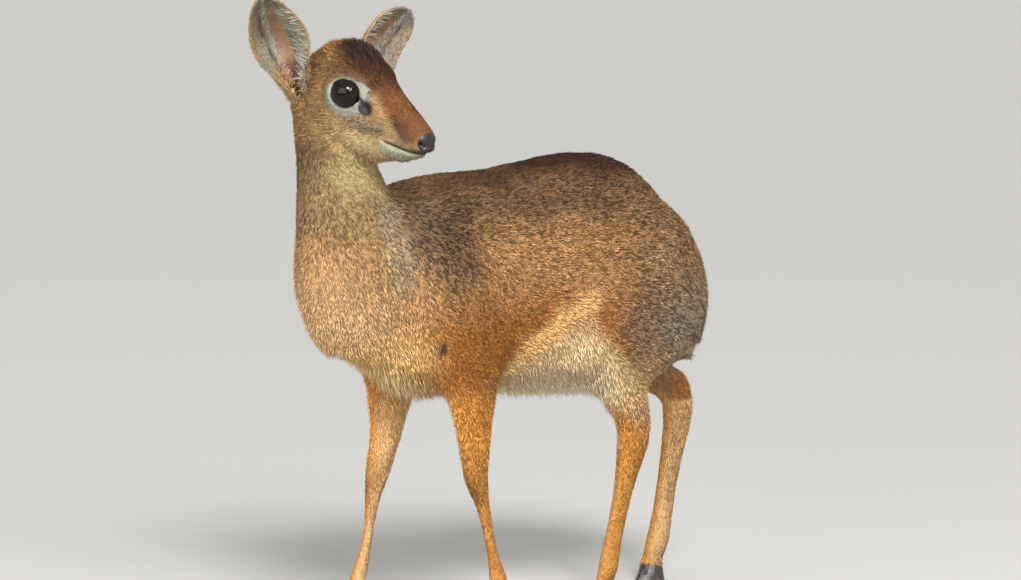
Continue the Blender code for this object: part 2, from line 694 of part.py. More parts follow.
def hoof(name, x, y, heading):
    """A cloven hoof: two claws that meet only near their tops."""
    halves = []
    for side in SIDES.values():
        made = claw(side)
        made.transform(Matrix.Scale(CM, 4))
        halves.append(object_of("claw", made))
    bridge = block("bridge", (-0.35, 0.0, HOOF_TOP), (0, 0, 1), 0.9, 0.3, 0.55)
    whole = halves[0]
    boolean(whole, halves[1], "UNION")
    boolean(whole, bridge, "UNION")
    drop(halves[1], bridge)
    whole.name = name
    whole.data.transform(
        Matrix.Translation(Vector((x, y, 0)) * CM) @ Matrix.Rotation(math.radians(heading), 4, "Z")
    )
    return largest_body(whole)


def swollen(item, amount):
    """A copy of the object with its surface moved outwards."""
    copy = item.copy()
    copy.data = item.data.copy()
    bpy.context.scene.collection.objects.link(copy)
    normals = np.empty(len(copy.data.vertices) * 3, np.float32)
    copy.data.vertices.foreach_get("normal", normals)
    set_points(copy, points_of(copy) + normals.reshape(-1, 3) * amount)
    return copy


def tree_of(item):
    """The object's faces, ready to be searched."""
    made = bmesh.new()
    made.from_mesh(item.data)
    found = BVHTree.FromBMesh(made)
    made.free()
    return found


def on_bend(start, middle, end, share):
    """The point at that share of a bend that leaves start towards middle and comes to end."""
    return start * (1 - share) ** 2 + middle * 2 * share * (1 - share) + end * share**2


def lock(root, normal, flat, lie, length, width):
    """One flat, tapered lock from inside the body out along the lie, its flat side facing flat."""
    tip = root + lie * length
    bend = (root - normal * LOCK_ROOT, root + (normal * LOCK_LIFT + lie * LOCK_BEND) * length, tip)
    rings = []
    for share, wide in LOCK_SHAPE:
        centre = on_bend(*bend, share)
        along = (on_bend(*bend, share + LOCK_STEP) - centre).normalized()
        across = along.cross(flat).normalized()
        thick = across.cross(along) * LOCK_FLATNESS
        half = 0.5 * width * wide
        rings.append([centre + way * half for way in (across, thick, -across, -thick)])
    made = bmesh.new()
    loops = [[made.verts.new(point * CM) for point in ring] for ring in rings]
    for first, second in zip(loops, loops[1:]):
        for i in range(4):
            j = (i + 1) % 4
            made.faces.new((first[i], first[j], second[j], second[i]))
    end = made.verts.new(tip * CM)
    for i in range(4):
        made.faces.new((loops[-1][i], loops[-1][(i + 1) % 4], end))
    made.faces.new(loops[0])
    bmesh.ops.triangulate(made, faces=made.faces)
    face_outwards(made)
    return object_of("lock", made)


def is_clear(item, others):
    """Whether an object keeps its distance from every other node."""
    own = tree_of(item)
    if any(own.overlap(tree) for tree in others):
        return False
    return all(tree.find_nearest(vert.co)[3] > GAP * CM for vert in item.data.vertices for tree in others)


def patch_of_locks(nodes, node, on_head, rows, places, inward, lie, turned, length, width, draw):
    """The locks of one patch, each set on its node's surface and kept clear of the other nodes."""
    turn = head_matrix() if on_head else Matrix()
    skin = tree_of(nodes[node])
    others = [tree_of(item) for name, item in nodes.items() if name != node]
    aim, hang = (turn.to_3x3() @ Vector(way) for way in (inward, lie))
    found = []
    for row, level in enumerate(rows):
        shift = (row % 2 * 2 - 1) * ROW_SHIFT * (places[1] - places[0])
        for place in places:
            across = place + shift
            spot = Vector((0.0, across, level) if inward == BEHIND else (level, across, 0.0))
            facing = turn.to_3x3() @ Vector(mirrored(turned, math.copysign(1, across)))
            origin = turn @ (spot - Vector(inward) * BEYOND)
            hit, normal = skin.ray_cast(origin * CM, aim)[:2]
            for attempt in range(LOCK_TRIES if hit else 0):
                sway = Vector(draw.normal(0, LOCK_VARIES, 3))
                size = length * (1 - LOCK_SHORTER * attempt) * (1 + draw.uniform(-LOCK_VARIES, LOCK_VARIES))
                flat = normal + facing + LOCK_TWIST * sway
                made = lock(hit / CM, normal, flat, (hang + sway).normalized(), size, width)
                if is_clear(made, others):
                    found.append(made)
                    break
                drop(made)
    return found


def with_locks(item, locks):
    """The node joined with its locks in one union."""
    group = bpy.data.collections.new("locks")
    for piece in locks:
        group.objects.link(piece)
    join = item.modifiers.new("locks", "BOOLEAN")
    join.operand_type, join.collection, join.solver = "COLLECTION", group, "MANIFOLD"
    join.operation = "UNION"
    apply_modifiers(item)
    drop(*locks)
    bpy.data.collections.remove(group)
    return largest_body(item)


def body_pieces():
    """The trunk, neck, limbs and muscles, before they are melted together."""
    pieces = [barrel("trunk", TRUNK), limb("neck", NECK)]
    for name, side in SIDES.items():
        pieces.append(limb("foreleg", FORELEG[name], side))
        pieces.append(limb("hindleg", HINDLEG[name], side))
        pieces += [ball("muscle", mirrored(at, side), reach) for at, reach in MUSCLES.values()]
    return pieces


def material(name, colour, roughness):
    """A plain finish."""
    made = bpy.data.materials.new(name)
    made.use_nodes = True
    shader = made.node_tree.nodes["Principled BSDF"]
    shader.inputs["Base Color"].default_value = (*colour, 1.0)
    shader.inputs["Roughness"].default_value = roughness
    return made


def main():
    for item in list(bpy.data.objects):
        bpy.data.objects.remove(item)
    body = fused("body", body_pieces(), BODY_VOXEL, BODY_SMOOTHING)
    flesh = fused("flesh", [body, on_body(barrel("skull", SKULL))], HEAD_VOXEL, HEAD_SMOOTHING)
    sculpt_head(flesh)
    thinned(flesh, BODY_TRIANGLES, False)
    thinned(flesh, HEAD_TRIANGLES, True)
    eyes = {}
    for name, side in SIDES.items():
        middle = mirrored(EYE_AT, side)
        socket = on_body(ball("socket", middle, (EYE_RADIUS + GAP,) * 3))
        boolean(flesh, socket, "DIFFERENCE")
        drop(socket)
        eyes["eye_" + name] = on_body(ball("eye_" + name, middle, (EYE_RADIUS,) * 3))
    under = block("under", (0, 0, HOOF_TOP + GAP), (0, 0, 1), 9.0, 30.0, 60.0)
    boolean(flesh, under, "DIFFERENCE")
    drop(under)
    nodes = parted(flesh)
    near_head = swollen(nodes["head"], GAP)
    for name, sizes in EARS.items():
        nodes[name] = largest_body(boolean(ear(name, *sizes), near_head, "DIFFERENCE"))
    near_torso = swollen(nodes["torso"], GAP)
    nodes["tail"] = largest_body(boolean(limb("tail", TAIL, count=12, around=12), near_torso, "DIFFERENCE"))
    drop(near_head, near_torso)
    for name, place in HOOVES.items():
        nodes[name] = hoof(name, *place)
    nodes.update(eyes)
    draw = np.random.default_rng(SEED)
    locks = {name: [] for name in nodes}
    for sizes in PATCHES.values():
        locks[sizes[0]] += patch_of_locks(nodes, *sizes, draw)
    for name, found in locks.items():
        if found:
            with_locks(nodes[name], found)
    hair = material("hair", (0.33, 0.22, 0.13), 0.8)
    horn = material("horn", (0.03, 0.025, 0.02), 0.4)
    gloss = material("eye", (0.01, 0.007, 0.005), 0.05)
    for name, item in nodes.items():
        item.data.materials.clear()
        item.data.materials.append(gloss if "eye" in name else horn if "hoof" in name else hair)
        item.data.transform(Matrix.Rotation(math.radians(-90), 4, "Z"))
    low = np.min([points_of(item).min(axis=0) for item in nodes.values()], axis=0)
    high = np.max([points_of(item).max(axis=0) for item in nodes.values()], axis=0)
    middle = Vector((low + high) / 2 * (1, 1, 0)) * CM
    for item in nodes.values():
        item.data.transform(Matrix.Translation(-middle))


if __name__ == "__main__":
    main()
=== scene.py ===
"""A life-size dik-dik as a museum shows it: skin, coat, eyes, ears, nose and hooves.

The pieces are placed on two sets of axes, both in centimetres. The body's run x forward, y to the
animal's left and z up from the ground. The head's run x from the nape to the nose, y to its left
and z towards the crown. Both are worked out from where the fixed frame holds the eyes.
"""

import sys
import enum
import itertools
import logging
import math
from dataclasses import dataclass, field
from typing import Callable, Iterable, Sequence

import bmesh
import bpy
import numpy as np
from mathutils import Matrix, Vector


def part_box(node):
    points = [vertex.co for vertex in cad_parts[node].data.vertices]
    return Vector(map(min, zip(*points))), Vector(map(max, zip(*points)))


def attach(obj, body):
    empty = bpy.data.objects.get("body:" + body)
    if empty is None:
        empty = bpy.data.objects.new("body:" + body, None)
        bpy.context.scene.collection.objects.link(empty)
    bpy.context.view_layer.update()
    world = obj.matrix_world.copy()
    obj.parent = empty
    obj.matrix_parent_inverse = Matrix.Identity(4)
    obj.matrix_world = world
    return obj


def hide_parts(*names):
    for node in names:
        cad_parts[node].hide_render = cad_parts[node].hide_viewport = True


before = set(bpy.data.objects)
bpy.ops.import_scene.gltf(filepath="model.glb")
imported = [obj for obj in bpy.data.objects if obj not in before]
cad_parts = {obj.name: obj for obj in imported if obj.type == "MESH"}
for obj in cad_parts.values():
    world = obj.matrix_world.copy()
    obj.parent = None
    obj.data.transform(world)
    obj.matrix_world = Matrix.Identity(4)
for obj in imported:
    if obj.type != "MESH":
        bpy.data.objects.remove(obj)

LOG = logging.getLogger("dik-dik")
CM = 0.01
MM = 0.001
ROOT = "root"
BAKE_MAP = "OFBake"
COAT_COLOUR = "coat"
BARE = "bare"
IRIS = "iris"
# Heights on the body, in centimetres, over which the neck's looks, hair and forms give way to the head's.
LOOKS_CHANGE = (36.5, 39.5)
HAIR_CHANGES = (36.0, 39.5)
FORMS_CHANGE = (36.5, 39.0)
HEAD_FROM = 38.0

Colour = tuple[float, float, float]
Place = tuple[float, float, float]


class Slot(enum.Enum):
    """The record's material slots."""

    COAT = "coat"
    EAR = "ear"
    HORN = "horn"
    EYE = "eye"


class Side(enum.Enum):
    """The two sides of the animal, by the sign of y."""

    LEFT = 1
    RIGHT = -1


def faded(values: np.ndarray, low: float, high: float) -> np.ndarray:
    """A smooth step.

    Args:
        values: The numbers to look at.
        low: Where the step starts from nought.
        high: Where it reaches one.

    Returns:
        Nought below low, one above high, and a smooth rise between.
    """
    share = np.clip((values - low) / (high - low), 0.0, 1.0)
    return share * share * (3 - 2 * share)


def between(values: np.ndarray, rises: float, full: float, falls: float, gone: float) -> np.ndarray:
    """One from full to falls, and nought below rises and above gone, with smooth steps between."""
    return faded(values, rises, full) * (1 - faded(values, falls, gone))


def unit(ways: np.ndarray) -> np.ndarray:
    """Rows of directions brought to length one."""
    return ways / np.maximum(np.linalg.norm(ways, axis=-1, keepdims=True), 1e-12)


def blended(first: np.ndarray, second: np.ndarray, share: np.ndarray) -> np.ndarray:
    """Rows of first moved towards second by each row's share."""
    return first + (second - first) * share[:, None]


def limited(colours: np.ndarray, most: float = 0.9) -> np.ndarray:
    """Rows of colours made no brighter than most, with their hue kept."""
    return colours * np.minimum(1.0, most / colours.max(axis=-1, keepdims=True))


def noise(points: np.ndarray, size: float, seed: int) -> np.ndarray:
    """Smooth noise in space.

    Args:
        points: Rows of x, y and z.
        size: How far apart its lumps are, in the same units.
        seed: Which noise it is.

    Returns:
        A number between -1 and 1 for each point.
    """
    spots = points / size + 17.31 * seed
    cells = np.floor(spots).astype(np.int64)
    share = spots - cells
    share = share * share * (3 - 2 * share)
    total = np.zeros(len(points))
    for corner in itertools.product((0, 1), repeat=3):
        at = cells + corner
        code = (at[:, 0] * 73856093) ^ (at[:, 1] * 19349663) ^ (at[:, 2] * 83492791) ^ (seed * 7919)
        code = (code ^ (code >> 13)) * 1274126177
        value = ((code >> 8) & 0xFFFF) / 32767.5 - 1.0
        total += value * np.where(corner, share, 1 - share).prod(axis=1)
    return total


def path_distance(points: np.ndarray, path: Iterable[Sequence[float]]) -> np.ndarray:
    """How far points lie from a path of straight pieces.

    Args:
        points: Rows of x, y and z.
        path: The path's corners.

    Returns:
        A distance for each point.
    """
    found = np.full(len(points), np.inf)
    for first, second in itertools.pairwise(map(np.array, path)):
        along = second - first
        share = np.clip((points - first) @ along / (along @ along), 0, 1)
        found = np.minimum(found, np.linalg.norm(points - first - np.outer(share, along), axis=1))
    return found


@dataclass(frozen=True)
class Axes:
    """A set of axes in centimetres, set in the frame's metres.

    Args:
        matrix: Carries centimetres on these axes to metres in the frame.
    """

    matrix: np.ndarray

    def out(self, points: np.ndarray) -> np.ndarray:
        """Points on these axes, carried to the frame."""
        return np.asarray(points) @ self.matrix[:3, :3].T + self.matrix[:3, 3]

    def into(self, points: np.ndarray) -> np.ndarray:
        """Points of the frame, carried to these axes."""
        back = np.linalg.inv(self.matrix)
        return np.asarray(points) @ back[:3, :3].T + back[:3, 3]

    def turn_out(self, ways: np.ndarray) -> np.ndarray:
        """Directions on these axes, as unit directions in the frame."""
        return unit(np.asarray(ways) @ self.matrix[:3, :3].T)

    def turn_into(self, ways: np.ndarray) -> np.ndarray:
        """Directions in the frame, as unit directions on these axes."""
        return unit(np.asarray(ways) @ self.matrix[:3, :3])


@dataclass(frozen=True)
class Stance:
    """How the head is set on the body, and the axes that follow from it."""

    head_at: Place = (15.8, 1.35, 41.5)
    head_yaw: float = 99.0
    head_droop: float = 17.0
    eye_at: Place = (0.92, 1.95, 0.88)

    def head_on_body(self) -> np.ndarray:
        """The matrix that carries the head's axes onto the body's.

        Returns:
            Four rows of four numbers.
        """
        return np.array(
            Matrix.Translation(self.head_at)
            @ Matrix.Rotation(math.radians(self.head_yaw), 4, "Z")
            @ Matrix.Rotation(math.radians(self.head_droop), 4, "Y")
        )

    def axes(self) -> tuple[Axes, Axes]:
        """Finds both sets of axes from the boxes of the two eyes.

        Returns:
            The body's axes and the head's.
        """
        turned = np.array(Matrix.Rotation(math.radians(-90), 4, "Z"))
        turned[:3, :3] *= CM
        midway = np.append(np.array(self.eye_at) * (1, 0, 1), 1.0)
        corners = [corner for name in ("eye_left", "eye_right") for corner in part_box(name)]
        middle = np.mean(np.array(corners), axis=0)
        turned[:3, 3] = middle - (turned @ self.head_on_body() @ midway)[:3]
        return Axes(turned), Axes(turned @ self.head_on_body())


BODY, HEAD = Stance().axes()
# The frame's own axes, for sizes given in metres.
METRES = Axes(np.eye(4))


def mirrored(place: Sequence[float], side: Side) -> np.ndarray:
    """A place or a direction given for the left, on that side."""
    return np.array(place, float) * (1, side.value, 1)


@dataclass(frozen=True)
class Socket:
    """A shader socket whose sums add Math nodes."""

    maker: "ShaderMaker"
    link: object

    def _math(self, kind: str, *values: object) -> "Socket":
        """One Math node of that kind on these values."""
        return self.maker.node("ShaderNodeMath", {"operation": kind}, values)

    def __add__(self, other: object) -> "Socket":
        """The sum."""
        return self._math("ADD", self, other)

    def __radd__(self, other: object) -> "Socket":
        """The sum, with the number first."""
        return self._math("ADD", other, self)

    def __rsub__(self, other: object) -> "Socket":
        """The difference, with the number first."""
        return self._math("SUBTRACT", other, self)

    def __mul__(self, other: object) -> "Socket":
        """The product."""
        return self._math("MULTIPLY", self, other)

    def __rmul__(self, other: object) -> "Socket":
        """The product, with the number first."""
        return self._math("MULTIPLY", other, self)


class ShaderMaker:
    """Builds one material's nodes."""

    def __init__(self, name: str) -> None:
        """Starts a material.

        Args:
            name: The material's name.
        """
        self.material = bpy.data.materials.new(name)
        self.material.use_nodes = True
        self.tree = self.material.node_tree
        self.shader = self.tree.nodes["Principled BSDF"]

    def node(
        self,
        kind: str,
        settings: dict[str, object] | None = None,
        values: Iterable[object] | dict[object, object] = (),
        output: int | str = 0,
    ) -> Socket:
        """Adds a node.

        Args:
            kind: The node's type.
            settings: Its own settings, such as an operation.
            values: What goes into its sockets, in order or by name or number.
            output: The socket that is handed back.

        Returns:
            That socket.
        """
        made = self.tree.nodes.new(kind)
        for name, value in (settings or {}).items():
            setattr(made, name, value)
        pairs = values.items() if isinstance(values, dict) else enumerate(values)
        for name, value in pairs:
            self.feed(made.inputs[name], value)
        return Socket(self, made.outputs[output])

    def feed(self, target: bpy.types.NodeSocket, value: object) -> None:
        """Sets a socket to a value, or links it.

        Args:
            target: The socket.
            value: A value, or the socket to link to it.
        """
        if isinstance(value, Socket):
            self.tree.links.new(value.link, target)
        else:
            target.default_value = value

    def place(self) -> Socket:
        """Object coordinates."""
        return self.node("ShaderNodeTexCoord", output="Object")

    def attribute(self, name: str, output: str = "Fac") -> Socket:
        """One of the piece's own attributes."""
        return self.node("ShaderNodeAttribute", {"attribute_name": name}, output=output)

    def marking(self, shade: Socket) -> Socket:
        """The marking that each point carries, times a shade."""
        colour = self.attribute(COAT_COLOUR, "Color")
        return self.node("ShaderNodeVectorMath", {"operation": "SCALE"}, {0: colour, "Scale": shade})

    def uneven(self, value: Socket, least: float, most: float) -> Socket:
        """Noise turned into a shade from least to most."""
        return self.ramp(value, 0.3, 0.7) * (most - least) + least

    def noise(self, scale: float, detail: float = 2.0, stretch: Place | None = None) -> Socket:
        """Noise on object coordinates.

        Args:
            scale: Lumps in a metre.
            detail: How many finer layers it has.
            stretch: How much it is squeezed along x, y and z.

        Returns:
            The noise, from nought to one.
        """
        at = self.place()
        if stretch is not None:
            at = self.node("ShaderNodeMapping", {"vector_type": "POINT"}, {"Vector": at, "Scale": stretch})
        return self.node("ShaderNodeTexNoise", {}, {"Vector": at, "Scale": scale, "Detail": detail})

    def ramp(self, value: Socket, low: float, high: float) -> Socket:
        """A value spread from nought at low to one at high."""
        return self.node("ShaderNodeMapRange", {}, {"Value": value, "From Min": low, "From Max": high})

    def mix(self, share: object, first: object, second: object) -> Socket:
        """One colour mixed with another.

        Args:
            share: How much of the second there is.
            first: A colour or a socket.
            second: A colour or a socket.

        Returns:
            The colour's socket.
        """
        values = {0: share, 6: first, 7: second}
        return self.node("ShaderNodeMix", {"data_type": "RGBA"}, values, output=2)

    def bump(self, height: Socket, distance: float, strength: float) -> None:
        """Bumps under the shader's Normal.

        Args:
            height: The height, from nought to one.
            distance: How high one is, in metres.
            strength: How strongly it shows.
        """
        values = {"Height": height, "Distance": distance, "Strength": strength}
        self.feed(self.shader.inputs["Normal"], self.node("ShaderNodeBump", {}, values))

    def set(self, **values: object) -> None:
        """Sets or links the shader's sockets, named with _ for a space."""
        for name, value in values.items():
            self.feed(self.shader.inputs[name.replace("_", " ")], value)


def opaque(colour: Colour) -> tuple[float, float, float, float]:
    """A colour with full alpha."""
    return (*colour, 1.0)


@dataclass(frozen=True)
class CoatFinish:
    """Ticked hair: the marking that each hair carries, broken up from hair to hair."""

    name: str = "coat_hair"
    grain: float = 900.0
    shades: tuple[float, float] = (0.82, 1.18)
    roughness: float = 0.72
    gloss: float = 0.16

    def make(self) -> bpy.types.Material:
        """Makes the material.

        Returns:
            The material.
        """
        maker = ShaderMaker(self.name)
        shade = maker.uneven(maker.noise(self.grain), *self.shades)
        maker.set(Base_Color=maker.marking(shade), Roughness=self.roughness, Specular_IOR_Level=self.gloss)
        return maker.material


@dataclass(frozen=True)
class SkinFinish:
    """The skin under the coat: the same markings, with the short hair that lies flat as bumps."""

    name: str = "skin"
    hairs: float = 1400.0
    pebbles: float = 1500.0
    shades: tuple[float, float] = (0.7, 1.0)
    dry: float = 0.8
    wetter: float = 0.54
    gloss: float = 0.35
    relief: float = 0.25 * MM

    def make(self) -> bpy.types.Material:
        """Makes the material.

        Returns:
            The material.
        """
        maker = ShaderMaker(self.name)
        wet = maker.attribute(BARE)
        hair = maker.noise(self.hairs, 3.0)
        spots = {"Vector": maker.place(), "Scale": self.pebbles}
        pebbles = maker.node("ShaderNodeTexVoronoi", {"feature": "F1"}, spots)
        maker.set(Base_Color=maker.marking(maker.uneven(hair, *self.shades)))
        maker.set(Roughness=self.dry - self.wetter * wet, Specular_IOR_Level=self.gloss)
        maker.bump(hair * (1.0 - wet) + (1.0 - pebbles) * wet, self.relief, 0.7)
        return maker.material


@dataclass(frozen=True)
class EarFinish:
    """The bare, veined skin inside the ear and the short coat on its back."""

    name: str = "ear_skin"
    veins: float = 160.0
    shades: tuple[float, float] = (0.75, 1.1)
    roughness: float = 0.6
    relief: float = 0.3 * MM

    def make(self) -> bpy.types.Material:
        """Makes the material.

        Returns:
            The material.
        """
        maker = ShaderMaker(self.name)
        veins = maker.noise(self.veins, 4.0, (1.0, 1.0, 0.35))
        shade = maker.uneven(veins, *self.shades)
        maker.set(Base_Color=maker.marking(shade), Roughness=self.roughness)
        maker.bump(veins, self.relief, 0.5)
        return maker.material


@dataclass(frozen=True)
class HornFinish:
    """Dark horn with fine rings round it and worn edges below."""

    name: str = "hoof_horn"
    dark: Colour = (0.018, 0.014, 0.012)
    worn: Colour = (0.085, 0.065, 0.05)
    rings: float = 130.0
    blotches: float = 180.0
    roughness: float = 0.34
    worn_roughness: float = 0.3
    relief: float = 0.35 * MM

    def make(self) -> bpy.types.Material:
        """Makes the material.

        Returns:
            The material.
        """
        maker = ShaderMaker(self.name)
        rings = maker.noise(self.rings, 3.0, (0.5, 0.5, 9.0))
        blotches = maker.noise(self.blotches, 3.0)
        worn = maker.ramp(blotches * 0.6 + rings * 0.4, 0.45, 0.75)
        maker.set(Base_Color=maker.mix(worn, opaque(self.dark), opaque(self.worn)))
        maker.set(Roughness=self.roughness + self.worn_roughness * worn)
        maker.bump(rings, self.relief, 0.6)
        return maker.material


@dataclass(frozen=True)
class EyeFinish:
    """A wet, nearly black eye with a dark brown iris and a long level pupil."""

    name: str = "eye_gloss"
    pupil: Colour = (0.0025, 0.002, 0.002)
    iris: tuple[Colour, Colour] = ((0.004, 0.003, 0.002), (0.010, 0.006, 0.003))
    streaks: float = 700.0
    roughness: float = 0.03
    cornea: float = 1.34
    gloss: float = 0.36

    def make(self) -> bpy.types.Material:
        """Makes the material.

        Returns:
            The material.
        """
        maker = ShaderMaker(self.name)
        brown = maker.mix(maker.noise(self.streaks, 3.0), *map(opaque, self.iris))
        maker.set(Base_Color=maker.mix(maker.attribute(IRIS), opaque(self.pupil), brown))
        maker.set(Roughness=self.roughness, IOR=self.cornea, Specular_IOR_Level=self.gloss)
        return maker.material


@dataclass(frozen=True)
class LidFinish:
    """The bare black rim of the lids, slightly wet."""

    name: str = "lid_skin"
    shades: tuple[Colour, Colour] = ((0.010, 0.008, 0.008), (0.035, 0.028, 0.025))
    folds: float = 1600.0
    roughness: float = 0.38
    relief: float = 0.15 * MM

    def make(self) -> bpy.types.Material:
        """Makes the material.

        Returns:
            The material.
        """
        maker = ShaderMaker(self.name)
        folds = maker.noise(self.folds, 3.0)
        maker.set(Base_Color=maker.mix(folds, *map(opaque, self.shades)), Roughness=self.roughness)
        maker.bump(folds, self.relief, 0.6)
        return maker.material


@dataclass(frozen=True)
class FloorFinish:
    """The plain pale floor."""

    name: str = "studio_floor"
    colour: Colour = (0.40, 0.394, 0.38)
    roughness: float = 0.9

    def make(self) -> bpy.types.Material:
        """Makes the material.

        Returns:
            The material.
        """
        maker = ShaderMaker(self.name)
        maker.set(Base_Color=opaque(self.colour), Roughness=self.roughness)
        return maker.material


def deselect_all() -> None:
    """Leaves nothing selected, and object mode on."""
    if bpy.context.mode != "OBJECT":
        bpy.ops.object.mode_set(mode="OBJECT")
    bpy.ops.object.select_all(action="DESELECT")


def put_in_scene(name: str, data: bpy.types.ID) -> bpy.types.Object:
    """Puts a new object in the scene.

    Args:
        name: Its name.
        data: Its mesh, light or camera.

    Returns:
        The object.
    """
    made = bpy.data.objects.new(name, data)
    bpy.context.scene.collection.objects.link(made)
    return made


def activate(piece: bpy.types.Object) -> None:
    """Selects only this piece and makes it active.

    Args:
        piece: The piece.
    """
    deselect_all()
    piece.select_set(True)
    bpy.context.view_layer.objects.active = piece


def apply_all(piece: bpy.types.Object) -> None:
    """Applies the piece's modifiers, in order.

    Args:
        piece: The piece.
    """
    activate(piece)
    for change in list(piece.modifiers):
        bpy.ops.object.modifier_apply(modifier=change.name)


def copy_of(node: str) -> bpy.types.Object:
    """Copies a node of the frame as a merged mesh of its own.

    Args:
        node: The node's name.

    Returns:
        The copy, riding on nothing.
    """
    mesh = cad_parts[node].data.copy()
    made = bmesh.new()
    made.from_mesh(mesh)
    bmesh.ops.remove_doubles(made, verts=made.verts, dist=1e-5)
    made.to_mesh(mesh)
    made.free()
    mesh.materials.clear()
    return put_in_scene(node + "_copy", mesh)


def points_of(piece: bpy.types.Object) -> np.ndarray:
    """The piece's points, in metres.

    Args:
        piece: The piece.

    Returns:
        A row of x, y and z for each point.
    """
    found = np.empty(len(piece.data.vertices) * 3, np.float32)
    piece.data.vertices.foreach_get("co", found)
    return found.reshape(-1, 3).astype(float)


def set_points(piece: bpy.types.Object, points: np.ndarray) -> None:
    """Moves the piece's points, in metres."""
    piece.data.vertices.foreach_set("co", points.astype(np.float32).ravel())
    piece.data.update()


def normals_of(piece: bpy.types.Object) -> np.ndarray:
    """The direction out of the surface at each of the piece's points.

    Args:
        piece: The piece.

    Returns:
        A row of x, y and z for each point.
    """
    found = np.empty(len(piece.data.vertices) * 3, np.float32)
    piece.data.vertices.foreach_get("normal", found)
    return found.reshape(-1, 3).astype(float)


def set_attribute(piece: bpy.types.Object, name: str, values: np.ndarray) -> None:
    """Gives each point of the piece a number or a colour.

    Args:
        piece: The piece.
        name: The attribute's name.
        values: A number, or three, for each point.
    """
    if values.ndim == 1:
        layer = piece.data.attributes.new(name, "FLOAT", "POINT")
        layer.data.foreach_set("value", values.astype(np.float32))
        return
    layer = piece.data.color_attributes.new(name=name, type="FLOAT_COLOR", domain="POINT")
    full = np.column_stack([values, np.ones(len(values))])
    layer.data.foreach_set("color", full.astype(np.float32).ravel())


def face_outwards(piece: bpy.types.Object) -> None:
    """Turns the faces of a closed piece to point out.

    Args:
        piece: The piece.
    """
    made = bmesh.new()
    made.from_mesh(piece.data)
    bmesh.ops.recalc_face_normals(made, faces=made.faces)
    made.to_mesh(piece.data)
    made.free()


def finished(piece: bpy.types.Object, finish: bpy.types.Material) -> bpy.types.Object:
    """Dresses a piece, shades it smooth, and lets it ride on the body.

    Args:
        piece: The piece.
        finish: Its material.

    Returns:
        The piece.
    """
    piece.data.materials.clear()
    piece.data.materials.append(finish)
    piece.data.polygons.foreach_set("use_smooth", np.ones(len(piece.data.polygons), bool))
    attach(piece, ROOT)
    LOG.info("%s: %d faces", piece.name, len(piece.data.polygons))
    return piece


@dataclass(frozen=True)
class Spot:
    """A soft-edged oval place on one of the sets of axes, on both sides or on the left alone."""

    at: Place
    reach: Place
    on: Axes
    both: bool = True
    edge: float = 1.5

    def share(self, points: np.ndarray) -> np.ndarray:
        """How much each point of the frame is in the spot, from nought to one.

        Args:
            points: Points of the frame, in metres.

        Returns:
            A share for each point, from nought to one.
        """
        local = self.on.into(points)
        if self.both:
            local[:, 1] = np.abs(local[:, 1])
        away = np.linalg.norm((local - self.at) / self.reach, axis=1)
        return np.exp(-(away ** (2 * self.edge)))


@dataclass(frozen=True)
class Outline:
    """A patch drawn on both sides of the animal by its corners' x and z, with a ragged soft edge."""

    corners: tuple[tuple[float, float], ...]
    on: Axes
    soft: float = 0.4

    def share(self, points: np.ndarray) -> np.ndarray:
        """How much each point of the frame is in the patch, from nought to one.

        Args:
            points: Points of the frame, in metres.

        Returns:
            A share for each point, from nought to one.
        """
        local = self.on.into(points)
        flat = local[:, (0, 2)] + 0.6 * self.soft * noise(local, 0.8, 41)[:, None]
        inside = np.zeros(len(points), bool)
        ends = (*self.corners, self.corners[0])
        for first, second in itertools.pairwise(ends):
            crossed = (first[1] > flat[:, 1]) != (second[1] > flat[:, 1])
            slope = (second[0] - first[0]) / (second[1] - first[1] + 1e-9)
            inside ^= crossed & (flat[:, 0] < first[0] + (flat[:, 1] - first[1]) * slope)
        distance = path_distance(flat, ends)
        return faded(np.where(inside, distance, -distance), -self.soft, self.soft)


@dataclass(frozen=True)
class Trail:
    """A soft-edged band along a path, on both sides of the animal."""

    path: tuple[Place, ...]
    width: float
    on: Axes

    def share(self, points: np.ndarray) -> np.ndarray:
        """How much each point of the frame is in the band, from nought to one.

        Args:
            points: Points of the frame, in metres.

        Returns:
            A share for each point, from nought to one.
        """
        local = self.on.into(points)
        local[:, 1] = np.abs(local[:, 1])
        away = path_distance(local, self.path) + 0.35 * noise(local, 0.8, 43)
        return np.exp(-((np.maximum(away, 0) / self.width) ** 2.5))


Area = Spot | Outline | Trail


def head(at: Place, reach: Place, edge: float = 1.5) -> Spot:
    """A spot on the head's axes."""
    return Spot(at, reach, HEAD, True, edge)


def body(at: Place, reach: Place, both: bool = True, edge: float = 1.5) -> Spot:
    """A spot on the body's axes."""
    return Spot(at, reach, BODY, both, edge)


@dataclass(frozen=True)
class Wash:
    """One colour laid over an area, and how strongly its hairs are ticked light and dark."""

    area: Area
    colour: Colour
    share: float = 1.0
    ticking: float = 0.3


@dataclass(frozen=True)
class Growth:
    """How hair grows over an area.

    Args:
        area: Where it grows.
        length: A tuft's length, in centimetres.
        width: Its width, in centimetres.
        lift: How it lifts off the skin, in degrees.
        clump: How far tufts lean together.
        hang: How far their ends turn down.
    """

    area: Area
    length: float
    width: float
    lift: float
    clump: float = 0.45
    hang: float = 0.0

    def sizes(self) -> np.ndarray:
        """The numbers as a row."""
        return np.array((self.length, self.width, self.lift, self.clump, self.hang))


@dataclass(frozen=True)
class Lie:
    """The way the hair runs over an area, on its own axes."""

    area: Area
    way: Place


